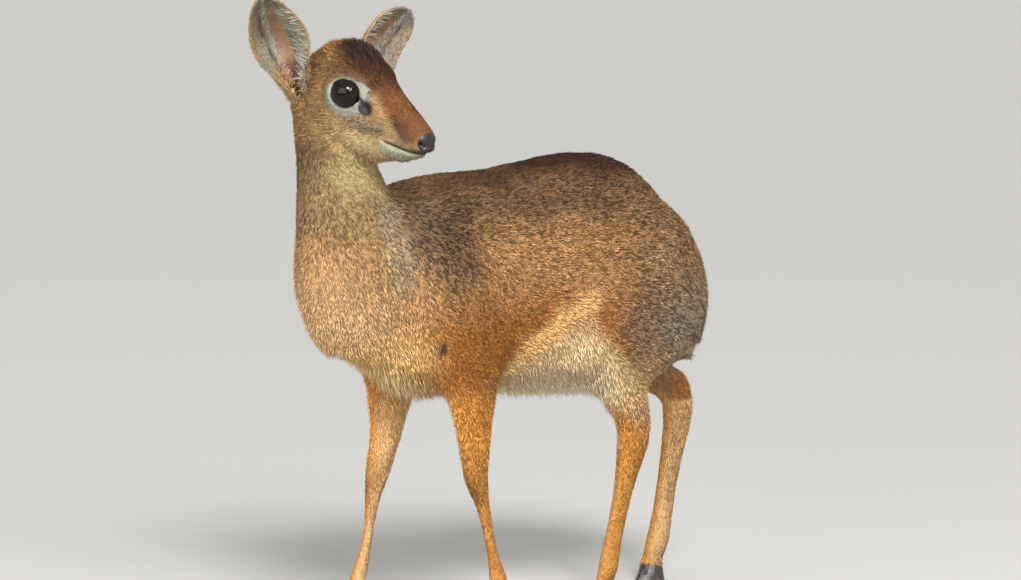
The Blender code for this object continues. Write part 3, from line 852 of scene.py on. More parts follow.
# The coat's colours, as linear light.
BACK_LINE = (0.060, 0.024, 0.012)
BACK_BROWN = (0.215, 0.112, 0.053)
SIDE_TAN = (0.560, 0.300, 0.120)
LOW_ORANGE = (0.465, 0.180, 0.033)
FLANK_ORANGE = (0.880, 0.560, 0.230)
FLANK_CREAM = (0.800, 0.590, 0.330)
RUMP_TAN = (0.380, 0.205, 0.095)
BELLY_CREAM = (0.880, 0.760, 0.540)
RUMP_GREY = (0.420, 0.375, 0.295)
SHOULDER_GREY = (0.140, 0.085, 0.050)
PALE_GREY = (0.450, 0.390, 0.280)
NECK_TAN = (0.375, 0.243, 0.113)
CHEST_TAN = (0.680, 0.460, 0.230)
CHEST_CREAM = (0.880, 0.690, 0.400)
CHEST_GOLD = (0.880, 0.580, 0.230)
LEG_ORANGE = (0.720, 0.310, 0.065)
LEG_PALE = (0.760, 0.480, 0.210)
KNEE_BROWN = (0.240, 0.085, 0.022)
# Painted shade for the hollow inside the top of the hind legs.
HOLLOW_PAINTED_SHADE = (0.095, 0.032, 0.010)
THROAT_CREAM = (0.550, 0.425, 0.205)
CHEEK_TAN = (0.400, 0.243, 0.108)
NAPE_ORANGE = (0.345, 0.170, 0.055)
FOREHEAD = (0.078, 0.025, 0.009)
BRIDGE_ORANGE = (0.205, 0.068, 0.014)
GRIZZLE = (0.245, 0.190, 0.136)
MUZZLE_BROWN = (0.075, 0.028, 0.012)
CROWN_DARK = (0.030, 0.017, 0.014)
CROWN_TAN = (0.500, 0.245, 0.080)
EYE_WHITE = (0.270, 0.262, 0.208)
GLAND_DARK = (0.012, 0.010, 0.011)
LIP_TAN = (0.480, 0.340, 0.190)
LIP_CREAM = (0.550, 0.550, 0.395)
# Dark lip skin with painted shade in the mouth's slit; the nostrils' slits take it as painted shade.
DARK_LIPS_AND_SHADE = (0.012, 0.008, 0.007)
NOSE_DARK = (0.016, 0.014, 0.015)
JAW_CREAM = (0.820, 0.610, 0.320)
BALD_BROWN = (0.060, 0.036, 0.030)
EAR_BACK = (0.270, 0.150, 0.070)
EAR_BARE = (0.190, 0.105, 0.058)
# Painted shade for the deep middle of the ear's cup, near its root.
EAR_CUP_SHADE = (0.090, 0.035, 0.030)
EAR_WHITE = (0.150, 0.130, 0.096)
FRINGE_WHITE = (0.330, 0.305, 0.243)
EAR_GREY = (0.185, 0.155, 0.105)
EAR_LINE = (0.035, 0.026, 0.022)
EAR_RIM = (0.250, 0.155, 0.080)

# From the belly to the back: a height in centimetres, the colour there and its ticking.
TRUNK_BANDS = (
    (19.8, LOW_ORANGE, 0.3),
    (23.5, LOW_ORANGE, 0.5),
    (27.0, SIDE_TAN, 0.8),
    (30.0, SIDE_TAN, 0.9),
    (33.0, BACK_BROWN, 1.0),
    (34.4, BACK_BROWN, 1.0),
    (35.7, BACK_LINE, 0.8),
)

CREAM_CORNERS = (
    (5.5, 14.0), (2.7, 18.3), (1.7, 19.7), (0.8, 21.3), (-0.7, 22.5), (-2.2, 23.3), (-3.7, 23.9),
    (-4.9, 22.6), (-6.4, 21.0), (-8.0, 19.2), (-9.4, 17.2), (-10.2, 15.0), (-8.0, 13.6),
)
CREAM_FLANK = Outline(CREAM_CORNERS, BODY, 0.8)
FLANK_EDGE = Trail(((3.2, 5.0, 18.9), (1.5, 5.6, 21.9), (-0.7, 6.5, 23.7), (-3.2, 6.9, 25.1)), 1.25, BODY)
NECK_CREASE = Trail(((14.4, 2.8, 33.2), (14.3, 3.9, 30.6), (14.0, 4.7, 28.0)), 1.2, BODY)

BODY_WASHES = (
    Wash(body((10.0, 5.0, 30.4), (3.2, 5.0, 4.2)), SHOULDER_GREY, 0.8, 1.1),
    Wash(body((16.0, 0.0, 33.5), (4.3, 6.0, 6.0)), NECK_TAN, 0.95, 0.8),
    Wash(body((16.0, 0.0, 24.4), (5.6, 6.5, 4.6)), CHEST_TAN, 0.95, 0.25),
    Wash(body((13.2, 3.0, 22.0), (3.2, 3.4, 2.0)), CHEST_GOLD, 0.95, 0.1),
    Wash(body((11.6, 4.4, 32.0), (2.3, 3.4, 3.2)), SHOULDER_GREY, 0.75, 1.1),
    Wash(NECK_CREASE, PALE_GREY, 0.45, 0.9),
    Wash(body((-12.5, 5.5, 29.5), (6.0, 5.5, 5.0)), RUMP_TAN, 0.7, 1.0),
    Wash(body((-9.6, 6.0, 23.4), (4.4, 4.5, 4.2)), RUMP_TAN, 0.85, 0.9),
    Wash(body((-14.0, 5.6, 22.6), (4.6, 4.8, 4.2), edge=1.0), RUMP_GREY, 0.8, 1.2),
    Wash(body((-19.0, 2.5, 22.0), (4.0, 4.5, 5.0), edge=1.2), RUMP_GREY, 0.8, 1.2),
    Wash(FLANK_EDGE, FLANK_ORANGE, 0.9, 0.15),
    Wash(CREAM_FLANK, FLANK_CREAM, 0.95, 0.1),
    Wash(body((-2.5, 0.0, 17.4), (9.5, 7.0, 3.4)), BELLY_CREAM, 0.95, 0.05),
    Wash(body((-10.5, 0.0, 19.0), (7.0, 3.3, 4.0)), BELLY_CREAM, 0.95, 0.05),
    Wash(body((-9.8, 5.0, 17.0), (2.8, 2.8, 3.2)), LEG_PALE, 0.75, 0.2),
    Wash(body((12.0, 0.0, 18.4), (4.0, 3.8, 2.5)), CHEST_CREAM, 0.95, 0.1),
    Wash(body((11.0, 6.2, 22.5), (0.32, 0.9, 0.6), False, 2.0), BALD_BROWN, 0.9, 0.0),
)

BRIDGE_CORNERS = (
    (2.4, 1.9), (3.3, 1.5), (4.15, 0.85), (5.0, 0.1), (5.8, -0.4), (6.95, -0.75), (8.6, -0.9),
    (8.6, 1.2), (5.5, 3.2), (2.4, 4.6),
)
CHEEK_CORNERS = ((1.2, -0.75), (2.6, -0.45), (4.3, -0.55), (5.0, -1.0), (3.6, -1.45), (2.0, -1.3))
MUZZLE_CORNERS = ((5.2, 0.35), (6.3, 0.2), (7.2, -0.25), (7.7, -0.75), (7.2, -1.05), (5.7, -0.35))
BRIDGE = Outline(BRIDGE_CORNERS, HEAD, 0.35)
CHEEK_LINE = Outline(CHEEK_CORNERS, HEAD)
MUZZLE_SIDE = Outline(MUZZLE_CORNERS, HEAD, 0.3)
UPPER_LIP = Outline(((4.5, -1.3), (6.0, -1.2), (7.5, -1.3), (7.8, -1.7), (4.4, -1.75)), HEAD, 0.16)
LOWER_LIP = Outline(((4.5, -1.75), (7.9, -1.75), (7.5, -2.3), (6.2, -2.75), (4.7, -2.45)), HEAD, 0.22)

HEAD_WASHES = (
    Wash(head((-3.8, 0.0, 0.5), (3.0, 6.0, 5.0)), NAPE_ORANGE, 0.8, 0.5),
    Wash(BRIDGE, BRIDGE_ORANGE, 0.95, 0.8),
    Wash(head((1.4, 0.0, 3.9), (3.3, 4.4, 3.0), 2.5), FOREHEAD, 1.0, 0.8),
    Wash(head((-2.6, 0.0, 3.2), (2.6, 3.0, 1.9)), CROWN_TAN, 0.9, 0.6),
    Wash(head((1.9, 0.5, 3.9), (1.7, 1.5, 1.2)), CROWN_DARK, 0.6, 1.0),
    Wash(head((0.1, 0.0, 4.1), (1.9, 2.4, 1.5), 3.0), CROWN_DARK, 0.95, 1.0),
    Wash(head((3.7, 1.8, -2.6), (2.3, 2.4, 1.25)), JAW_CREAM, 0.9, 0.4),
    Wash(CHEEK_LINE, GRIZZLE, 0.9, 1.0),
    Wash(MUZZLE_SIDE, MUZZLE_BROWN, 0.8, 0.3),
    Wash(UPPER_LIP, LIP_TAN, 0.8, 0.15),
    Wash(head((2.9, 0.0, -5.0), (2.6, 2.9, 2.0)), THROAT_CREAM, 0.95, 0.15),
    Wash(head((4.2, 0.0, -3.6), (2.2, 1.8, 0.9)), THROAT_CREAM, 0.85, 0.15),
    Wash(LOWER_LIP, LIP_CREAM, 0.95, 0.1),
)


@dataclass(frozen=True)
class Face:
    """The bare or specially marked places round the eyes, nose and mouth, on the head's axes."""

    eye_at: Place = (0.92, 1.95, 0.88)
    eye_looks: Place = (0.45, 0.88, 0.12)
    eye_radius: float = 1.35
    # The white ring's outer edge: the turn from straight ahead towards the crown, and its radius.
    ring: tuple[tuple[float, float], ...] = (
        (-180, 1.42),
        (-157, 1.52),
        (-114, 1.62),
        (-72, 1.72),
        (-30, 1.92),
        (6, 2.22),
        (30, 1.86),
        (59, 1.28),
        (100, 1.19),
        (147, 1.22),
        (180, 1.42),
    )
    gland: Place = (3.02, 1.9, 0.29)
    gland_reach: Place = (0.68, 1.0, 0.62)
    corner: tuple[Place, ...] = ((1.85, 2.5, 1.0), (2.2, 2.3, 0.98), (2.45, 2.12, 0.74), (2.8, 1.9, 0.45))
    corner_width: float = 0.21
    mouth_corner: float = 4.85
    mouth_height: float = -1.64
    mouth_drop: float = 0.02
    lips_width: float = 0.13
    nose_at: Place = (8.28, 0.0, -0.76)
    nose_reach: Place = (0.92, 1.12, 0.84)

    def eye_frame(self, side: Side) -> tuple[np.ndarray, np.ndarray, np.ndarray, np.ndarray]:
        """The eye's middle, the way it looks, and its own forward and upward, on the head's axes.

        Args:
            side: Which eye.

        Returns:
            Four rows of x, y and z.
        """
        looks = unit(mirrored(self.eye_looks, side))
        forward = unit(np.array((1.0, 0.0, 0.0)) - looks * looks[0])
        upward = np.cross(looks, forward) * -side.value
        return mirrored(self.eye_at, side), looks, forward, upward * np.sign(upward[2])

    def on_eye(self, spot: np.ndarray) -> tuple[np.ndarray, np.ndarray, np.ndarray]:
        """Where points of the left side lie round the left eye.

        Args:
            spot: Points on the head's axes, with y outwards.

        Returns:
            How far each is from the eye's axis, its turn from straight ahead in degrees, and how
            far out it is along the way that the eye looks.
        """
        centre, looks, forward, upward = self.eye_frame(Side.LEFT)
        away = spot - centre
        turn = np.degrees(np.arctan2(away @ upward, away @ forward))
        out = away @ looks
        return np.linalg.norm(away - np.outer(out, looks), axis=1), turn, out

    def opening(self, turn: np.ndarray) -> np.ndarray:
        """The radius of the opening between the lids at a turn in degrees."""
        corner = 0.2 * np.exp(-(((turn + 8) / 17) ** 2)) + 0.06 * np.exp(-(((np.abs(turn) - 180) / 22) ** 2))
        return 1.18 - 0.05 * np.abs(np.sin(np.radians(turn))) + corner

    def outside(self, points: np.ndarray) -> tuple[np.ndarray, np.ndarray]:
        """Points on the head's axes with y outwards, and whether each is on the head.

        Args:
            points: Points of the frame, in metres.

        Returns:
            The points there, and a yes or no for each.
        """
        spot = HEAD.into(points)
        spot[:, 1] = np.abs(spot[:, 1])
        return spot, BODY.into(points)[:, 2] > LOOKS_CHANGE[0]

    def eye_white(self, spot: np.ndarray) -> np.ndarray:
        """How much points belong to the white ring.

        Args:
            spot: Points on the head's axes, with y outwards.

        Returns:
            A share for each point, from nought to one.
        """
        spread, turn, out = self.on_eye(spot)
        turns, radii = np.array(self.ring).T
        edge = np.interp(turn, turns, radii) + 0.07 * noise(spot, 0.25, 6)
        return faded(out, -0.9, -0.3) * (1 - faded(spread, edge - 0.08, edge + 0.14))

    def gland_share(self, spot: np.ndarray) -> np.ndarray:
        """How much points belong to the tear gland or the dark line to it.

        Args:
            spot: Points on the head's axes, with y outwards.

        Returns:
            A share for each point, from nought to one.
        """
        away = (spot - self.gland) / self.gland_reach
        oval = 1 - faded(np.linalg.norm(away, axis=1), 0.8, 1.1)
        line = path_distance(spot, self.corner) / self.corner_width
        return np.maximum(oval, 1 - faded(line, 0.8, 1.5))

    def mouth_line(self, spot: np.ndarray) -> tuple[np.ndarray, np.ndarray]:
        """How far points are ahead of the mouth's corner, and above its line."""
        ahead = spot[:, 0] - self.mouth_corner
        return ahead, spot[:, 2] - (self.mouth_height - self.mouth_drop * ahead)

    def lips(self, spot: np.ndarray, width: float) -> np.ndarray:
        """How much points belong to the line between the lips."""
        ahead, above = self.mouth_line(spot)
        return faded(ahead, -0.1, 0.35) * np.exp(-((above / width) ** 2))

    def nose(self, spot: np.ndarray) -> np.ndarray:
        """How much points belong to the bare nose pad."""
        away = (spot - self.nose_at) / self.nose_reach
        return 1 - faded(np.linalg.norm(away, axis=1), 0.92, 1.02)

    def bare(self, points: np.ndarray) -> np.ndarray:
        """How much points of the frame are bare of hair.

        Args:
            points: Points of the frame, in metres.

        Returns:
            A share for each point, from nought to one.
        """
        spot, on_head = self.outside(points)
        spread, turn, out = self.on_eye(spot)
        eye = (spread < self.opening(turn) + 0.06) & (out > 0)
        gland = self.gland_share(spot) > 0.6
        return np.clip(self.nose(spot) + self.lips(spot, self.lips_width) + eye + gland, 0, 1) * on_head


FACE = Face()


@dataclass(frozen=True)
class LegMarking:
    """Where the colours of the legs lie, in centimetres on the body's axes.

    Args:
        tops: How high the colours of the fore legs and of the hind legs reach.
        fade: Over what height they give way to the trunk's.
        low_shade: How bright the lower legs are beside the upper.
        low_fade: The heights between which that changes.
        grey_fade: The heights between which the hind legs turn grey behind.
        knee: The height of the fore knees.
        knee_reach: How far the brown of the knees reaches up and down.
        hollow: The middle of the painted shade in the hollow inside the top of the hind leg.
        hollow_reach: How far that painted shade reaches.
        beside: How far to the side of the middle the legs' colours begin.
        below: Under which height all is leg.
    """

    tops: tuple[float, float] = (20.0, 17.5)
    fade: float = 2.5
    low_shade: float = 0.76
    low_fade: tuple[float, float] = (12.5, 16.0)
    grey_fade: tuple[float, float] = (13.0, 17.5)
    knee: float = 10.9
    knee_reach: float = 1.1
    hollow: Place = (-20.7, 0.0, 17.5)
    hollow_reach: Place = (1.5, 4.0, 1.3)
    beside: tuple[float, float] = (1.8, 3.0)
    below: float = 15.5

    def over(self, found: np.ndarray, spot: np.ndarray, out: np.ndarray) -> np.ndarray:
        """Orange legs, paler inside, with brown knees in front and grey-tan tops behind.

        Args:
            found: The looks so far: a colour and its ticking.
            spot: The points on the body's axes.
            out: The way out of the surface there, on the same axes.

        Returns:
            The looks with the legs' laid over them.
        """
        height = spot[:, 2]
        inside = faded(-out[:, 1] * np.sign(spot[:, 1]), -0.1, 0.7)
        leg = np.tile((*LEG_ORANGE, 0.25), (len(spot), 1))
        leg = blended(leg, np.array((*LEG_PALE, 0.15)), 0.85 * inside)
        leg[:, :3] *= (self.low_shade + (1 - self.low_shade) * faded(height, *self.low_fade))[:, None]
        hind = spot[:, 0] < 0
        upper = faded(height, *self.grey_fade) * (1 - inside) * faded(-out[:, 0], -0.7, 0.1)
        leg = blended(leg, np.array((*RUMP_GREY, 1.0)), 0.75 * upper * hind)
        knee = np.exp(-(((height - self.knee) / self.knee_reach) ** 2)) * faded(out[:, 0], 0.2, 0.8)
        leg = blended(leg, np.array((*KNEE_BROWN, 0.3)), 0.5 * knee * ~hind)
        # Painted shade: the hollow at the top of the hind legs is darkened on their inner faces.
        away = np.linalg.norm((spot - self.hollow) / self.hollow_reach, axis=1)
        leg = blended(leg, np.array((*HOLLOW_PAINTED_SHADE, 0.3)), 0.95 * np.exp(-(away**3)) * np.sqrt(inside))
        beside = np.maximum(faded(np.abs(spot[:, 1]), *self.beside), height < self.below)
        top = np.where(hind, self.tops[1], self.tops[0])
        return blended(found, leg, (1 - faded(height, top - self.fade, top)) * beside)


class Markings:
    """The coat's colours over the whole animal, the same on the skin and on every hair."""

    def __init__(self) -> None:
        """Puts the bands of the trunk in order."""
        self.levels = np.array([band[0] for band in TRUNK_BANDS])
        self.bands = np.array([(*band[1], band[2]) for band in TRUNK_BANDS])

    def look(self, points: np.ndarray, normals: np.ndarray) -> tuple[np.ndarray, np.ndarray]:
        """The coat's look at points of the frame.

        Args:
            points: Where the hair or skin is.
            normals: The way out of the surface there.

        Returns:
            A colour for each point, and how strongly it is ticked.
        """
        spot = BODY.into(points)
        out = BODY.turn_into(normals)
        height = spot[:, 2] + 0.8 * noise(spot, 2.6, 3)
        found = np.column_stack([np.interp(height, self.levels, self.bands[:, i]) for i in range(4)])
        for wash in BODY_WASHES:
            found = self._washed(found, wash, points)
        found = LegMarking().over(found, spot, out)
        on_head = faded(spot[:, 2], *LOOKS_CHANGE)
        found = blended(found, np.array((*CHEEK_TAN, 0.6)), on_head)
        for wash in HEAD_WASHES:
            found = self._washed(found, wash, points)
        face, is_head = FACE.outside(points)
        found = blended(found, np.array((*EYE_WHITE, 0.1)), FACE.eye_white(face) * is_head)
        found = blended(found, np.array((*GLAND_DARK, 0.0)), FACE.gland_share(face) * is_head)
        return found[:, :3], found[:, 3]

    @staticmethod
    def _washed(found: np.ndarray, wash: Wash, points: np.ndarray) -> np.ndarray:
        """The looks with one wash laid over them."""
        return blended(found, np.array((*wash.colour, wash.ticking)), wash.share * wash.area.share(points))


# How the coat grows: first all over, then over each place in turn.
EVERYWHERE = Growth(body((0, 0, 0), (1e3, 1e3, 1e3)), 0.43, 0.066, 27.0)
GROWTHS = (
    Growth(body((-15.0, 0.0, 27.0), (6.0, 9.0, 9.0)), 0.48, 0.070, 30.0, 0.5),
    Growth(body((14.8, 0.0, 29.0), (5.5, 8.0, 10.0)), 0.44, 0.066, 27.0, 0.4),
    Growth(FLANK_EDGE, 0.85, 0.068, 24.0, 0.35, 0.2),
    Growth(CREAM_FLANK, 1.1, 0.070, 22.0, 0.35, 0.3),
    Growth(body((-3.0, 0.0, 17.8), (10.0, 5.0, 1.9)), 1.7, 0.075, 48.0, 0.4, 0.7),
    Growth(body((14.8, 0.0, 23.8), (4.6, 7.2, 4.4)), 0.85, 0.070, 32.0, 0.35, 0.35),
    Growth(body((12.4, 0.0, 19.3), (4.2, 4.1, 2.9), edge=1.1), 2.2, 0.075, 54.0, 0.4, 0.85),
    Growth(body((-19.0, 0.0, 23.5), (2.6, 3.6, 5.0)), 1.15, 0.115, 28.0, 0.4, 0.3),
)
# Down a leg: a height, then length, width, lift, clump and hang.
LEG_GROWTH = (
    (1.9, 0.55, 0.055, 33.0, 0.1, 0.0),
    (2.6, 0.34, 0.055, 16.0, 0.1, 0.0),
    (3.4, 0.28, 0.055, 10.0, 0.1, 0.0),
    (9.0, 0.36, 0.060, 11.0, 0.15, 0.0),
    (14.0, 0.50, 0.075, 15.0, 0.25, 0.0),
    (19.0, 0.75, 0.100, 22.0, 0.4, 0.0),
)
LEG_HAIR_TOP = (14.5, 19.0)
LEG_HAIR_BESIDE = (2.0, 3.2)
HEAD_GROWTHS = (
    Growth(head((0.0, 0.0, 0.0), (20.0, 20.0, 20.0)), 0.46, 0.060, 18.0, 0.2),
    Growth(head((-3.6, 0.0, -2.5), (2.6, 5.0, 3.5)), 0.52, 0.062, 20.0, 0.25),
    Growth(head((4.6, 0.0, 0.6), (2.6, 2.5, 2.5)), 0.30, 0.048, 13.0, 0.1),
    Growth(head((-0.8, 0.0, 4.0), (3.1, 2.4, 1.4)), 0.80, 0.066, 34.0, 0.35),
    Growth(head((5.6, 0.0, -2.7), (2.8, 2.2, 1.1)), 0.26, 0.045, 10.0, 0.1),
    Growth(head((0.9, 2.4, 0.9), (2.0, 1.2, 1.9), 2.5), 0.17, 0.040, 12.0, 0.05),
    Growth(head((7.2, 0.0, -1.2), (2.6, 2.2, 2.0), 2.5), 0.17, 0.038, 9.0, 0.05),
)

BACKWARDS = (-1.0, 0.0, -0.22)
LIES = (
    Lie(body((0.0, 0.0, 27.0), (90.0, 90.0, 90.0)), BACKWARDS),
    Lie(body((-15.5, 0.0, 27.0), (6.0, 9.0, 9.0)), (-0.55, 0.0, -0.85)),
    Lie(body((8.0, 5.0, 25.0), (5.5, 6.0, 7.0)), (-0.5, 0.0, -0.85)),
    Lie(CREAM_FLANK, (-0.3, 0.0, -0.95)),
    Lie(body((15.0, 0.0, 31.0), (5.0, 8.0, 8.5)), (-0.25, 0.0, -0.97)),
    Lie(body((14.5, 0.0, 24.0), (4.0, 7.0, 5.0)), (-0.35, 0.0, -0.93)),
)
HEAD_LIES = (
    Lie(head((0.0, 0.0, 0.0), (40.0, 40.0, 40.0)), (-1.0, 0.0, -0.12)),
    Lie(head((-3.0, 0.0, -2.0), (3.5, 5.0, 4.0)), (-0.7, 0.0, -0.7)),
    Lie(head((-1.2, 0.0, 3.9), (2.6, 2.6, 1.6)), (-0.95, 0.0, 0.25)),
    Lie(head((3.5, 2.0, -2.4), (3.5, 2.0, 1.6)), (-0.9, 0.0, -0.45)),
)


class Pelt:
    """How the coat grows: its length, width, lift and lie at any place."""

    def growth(self, points: np.ndarray) -> tuple[np.ndarray, ...]:
        """The hair's sizes at points of the frame.

        Args:
            points: Where it grows.

        Returns:
            Its length and its width in metres, its lift in radians, its clumping and its hang.
        """
        spot = BODY.into(points)
        found = np.tile(EVERYWHERE.sizes(), (len(points), 1))
        for grown in GROWTHS:
            found = blended(found, grown.sizes(), grown.area.share(points))
        legs = np.array(LEG_GROWTH)
        on_leg = np.column_stack([np.interp(spot[:, 2], legs[:, 0], row) for row in legs.T[1:]])
        beside = np.maximum(faded(np.abs(spot[:, 1]), *LEG_HAIR_BESIDE), spot[:, 2] < LegMarking.below)
        found = blended(found, on_leg, (1 - faded(spot[:, 2], *LEG_HAIR_TOP)) * beside)
        face = found
        for grown in HEAD_GROWTHS:
            face = blended(face, grown.sizes(), grown.area.share(points))
        found = blended(found, face, faded(spot[:, 2], *HAIR_CHANGES))
        length, width, lift, clump, hang = found.T
        return length * CM, width * CM, np.radians(lift), clump, hang

    def depth(self, points: np.ndarray) -> np.ndarray:
        """How deep the skin lies under the coat's tips, in metres.

        Args:
            points: Points of the frame, in metres.

        Returns:
            A depth for each point.
        """
        length, _, lift, _, _ = self.growth(points)
        rise = np.sin(np.minimum(lift, math.radians(30)))
        return 0.75 * length * rise * faded(BODY.into(points)[:, 2], 1.0, 3.4)

    def lie(self, points: np.ndarray, normals: np.ndarray) -> np.ndarray:
        """The way the hair runs along the skin.

        Args:
            points: Where it grows.
            normals: The way out of the skin there.

        Returns:
            A unit direction along the skin for each point.
        """
        spot = BODY.into(points)
        found = np.tile(BODY.turn_out(BACKWARDS), (len(points), 1))
        for lie in LIES:
            found = blended(found, BODY.turn_out(lie.way), lie.area.share(points))
        down = BODY.turn_out((-0.12, 0.0, -1.0))
        found = blended(found, down, 1 - faded(spot[:, 2], 15.0, 20.0))
        face = found
        for lie in HEAD_LIES:
            face = blended(face, HEAD.turn_out(lie.way), lie.area.share(points))
        found = blended(found, face, faded(spot[:, 2], *HAIR_CHANGES))
        found = found - normals * (found * normals).sum(axis=1, keepdims=True)
        return unit(found)


MARKINGS = Markings()
PELT = Pelt()


@dataclass(frozen=True)
class Stroke:
    """A push on both sides of the head's skin: where, how far it reaches, and which way it goes."""

    at: Place
    reach: Place
    push: Place


@dataclass
class Skin:
    """One skin over head, neck, trunk, legs and tail, with the head's finer forms."""

    nodes: tuple[str, ...] = (
        "head",
        "neck",
        "torso",
        "tail",
        "foreleg_left",
        "foreleg_right",
        "hindleg_left",
        "hindleg_right",
    )
    overlap: float = 0.3 * MM
    voxel: float = 1.7 * MM
    lock_smoothing: int = 300
    # Where the frame's locks are: the belly's run, height and half width, the rump's run and height,
    # and the crown's height and front.
    belly_run: tuple[float, ...] = (-10.0, -8.5, 14.0, 15.0)
    belly_height: tuple[float, float] = (19.2, 20.8)
    belly_half: tuple[float, float] = (3.4, 4.6)
    rump_run: tuple[float, float] = (-14.5, -13.5)
    rump_height: tuple[float, ...] = (17.5, 18.5, 29.5, 30.5)
    crown_height: tuple[float, float] = (3.4, 3.9)
    crown_front: tuple[float, float] = (2.0, 2.6)
    crown_share: float = 0.08
    fine_from: float = -0.9
    # A leg's end in its hoof: how far it is from the hoof's back, and its reach.
    heel: float = 0.83
    leg_end: Place = (0.88, 0.9, 0.7)
    leg_end_rise: float = 0.05
    # The crown, then each ear's root: the middle and the reach of a mound on the head's axes.
    mounds: tuple[tuple[Place, Place], ...] = (
        ((-0.9, 0.0, 1.9), (3.3, 2.35, 2.4)),
        ((-2.9, -1.9, -1.2), (1.25, 1.2, 1.6)),
        ((-2.35, -1.95, -1.1), (1.0, 1.0, 1.4)),
        ((-2.2, 2.5, 0.2), (1.2, 1.1, 1.8)),
    )
    # The clean lower edge of the trunk and the clean top of the skull, under the frame's locks.
    underside: tuple[tuple[float, float], ...] = (
        (-17.6, 23.2),
        (-15.5, 20.9),
        (-13.1, 19.2),
        (-10.5, 18.0),
        (-7.0, 17.7),
        (-3.0, 17.9),
        (5.0, 18.2),
        (8.5, 18.1),
        (11.6, 19.1),
        (14.6, 21.7),
    )
    skull_top: tuple[tuple[float, float], ...] = (
        (-5.3, 0.6),
        (-4.0, 2.8),
        (-2.4, 3.75),
        (-0.6, 4.1),
        (0.9, 3.7),
        (2.4, 2.95),
        (4.0, 2.2),
    )
    strokes: tuple[Stroke, ...] = (
        Stroke((0.2, 0.0, 3.9), (2.2, 2.2, 1.6), (0.0, 0.0, 0.25)),
        Stroke((1.0, 2.5, 2.25), (1.5, 0.7, 0.3), (0.0, 0.1, 0.06)),
        Stroke((3.02, 2.0, 0.29), (0.3, 0.6, 0.26), (0.0, -0.26, 0.0)),
        Stroke((3.02, 2.0, 0.29), (0.75, 0.8, 0.65), (0.0, 0.14, 0.0)),
        Stroke((7.2, 0.9, -1.3), (1.1, 0.6, 0.2), (0.04, 0.09, 0.0)),
        Stroke((6.8, 0.8, -2.05), (1.0, 0.6, 0.25), (0.03, 0.07, 0.0)),
    )
    mouth_depth: float = 0.2
    mouth_width: float = 0.085
    corner_depth: float = 0.08
    nostril: tuple[Place, ...] = (
        (8.6, 0.26, -0.80),
        (8.5, 0.44, -1.02),
        (8.3, 0.66, -1.08),
        (8.1, 0.82, -0.9),
    )
    nostril_depth: float = 0.5
    nostril_width: float = 0.16
    shade: float = 0.75
    ticked_shade: float = 0.35
    face_reach: float = 10.5
    kept_share: float = 0.58
    piece: bpy.types.Object | None = field(default=None, init=False)

    def build(self) -> bpy.types.Object:
        """Melts the nodes of flesh into one skin and shapes it.

        Returns:
            The skin.
        """
        self.piece = self._melted()
        self._flatten_locks()
        self._refine_face()
        self._sink()
        self._sculpt()
        self._paint()
        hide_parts(*self.nodes)
        return finished(self.piece, SkinFinish().make())

    def _melted(self) -> bpy.types.Object:
        """The nodes, the eyeballs and the ears' roots grown until they touch, and remeshed.

        Returns:
            One closed piece.
        """
        copies = [copy_of(node) for node in (*self.nodes, "eye_left", "eye_right")]
        for copy in copies:
            grown = points_of(copy) + normals_of(copy) * self.overlap
            set_points(copy, self._without_locks(copy.name, grown))
        copies += [self._mound(HEAD, at, reach) for at, reach in self.mounds]
        copies += [self._leg_end(hoof) for hoof in Hooves().names]
        activate(copies[0])
        for copy in copies:
            copy.select_set(True)
        bpy.ops.object.join()
        whole = bpy.context.view_layer.objects.active
        whole.name = "skin"
        melt = whole.modifiers.new("melt", "REMESH")
        melt.mode = "VOXEL"
        melt.voxel_size = self.voxel
        calm = whole.modifiers.new("calm", "SMOOTH")
        calm.factor = 0.5
        calm.iterations = 4
        apply_all(whole)
        return whole

    def _without_locks(self, name: str, points: np.ndarray) -> np.ndarray:
        """A node's points, with the frame's locks pressed back to the clean form.

        Args:
            name: The name of the node's copy.
            points: Its points in the frame.

        Returns:
            The points.
        """
        if name.startswith("torso"):
            spot = BODY.into(points)
            half = np.where((spot[:, 0] > -8.5) & (spot[:, 0] < 5.5), 4.4, 2.4)
            floor = np.interp(spot[:, 0], *np.array(self.underside).T)
            low = (np.abs(spot[:, 1]) < half) & (spot[:, 2] < floor)
            spot[low, 2] = floor[low]
            return BODY.out(spot)
        if name.startswith("head"):
            spot = HEAD.into(points)
            top = np.interp(spot[:, 0], *np.array(self.skull_top).T)
            spot[:, 2] = np.where(spot[:, 0] < 3.5, np.minimum(spot[:, 2], top), spot[:, 2])
            return HEAD.out(spot)
        return points

    @staticmethod
    def _mound(axes: Axes, at: Sequence[float], reach: Sequence[float]) -> bpy.types.Object:
        """A fleshy mound with its middle and its reach on these axes.

        Args:
            axes: The axes.
            at: Its middle.
            reach: How far it reaches along each axis.

        Returns:
            The mound.
        """
        deselect_all()
        bpy.ops.mesh.primitive_uv_sphere_add(segments=32, ring_count=20, radius=1.0)
        mound = bpy.context.active_object
        set_points(mound, axes.out(points_of(mound) * reach + at))
        return mound

    def _leg_end(self, hoof: str) -> bpy.types.Object:
        """A mound that carries a leg's end down into the hoof of that name.

        Args:
            hoof: The hoof's node.

        Returns:
            The mound.
        """
        corners = np.array(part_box(hoof))
        low, high = corners.min(axis=0), corners.max(axis=0)
        middle = ((low[0] + high[0]) / 2, high[1] - self.heel * CM, high[2] + self.leg_end_rise * CM)
        return self._mound(METRES, middle, np.array(self.leg_end) * CM)

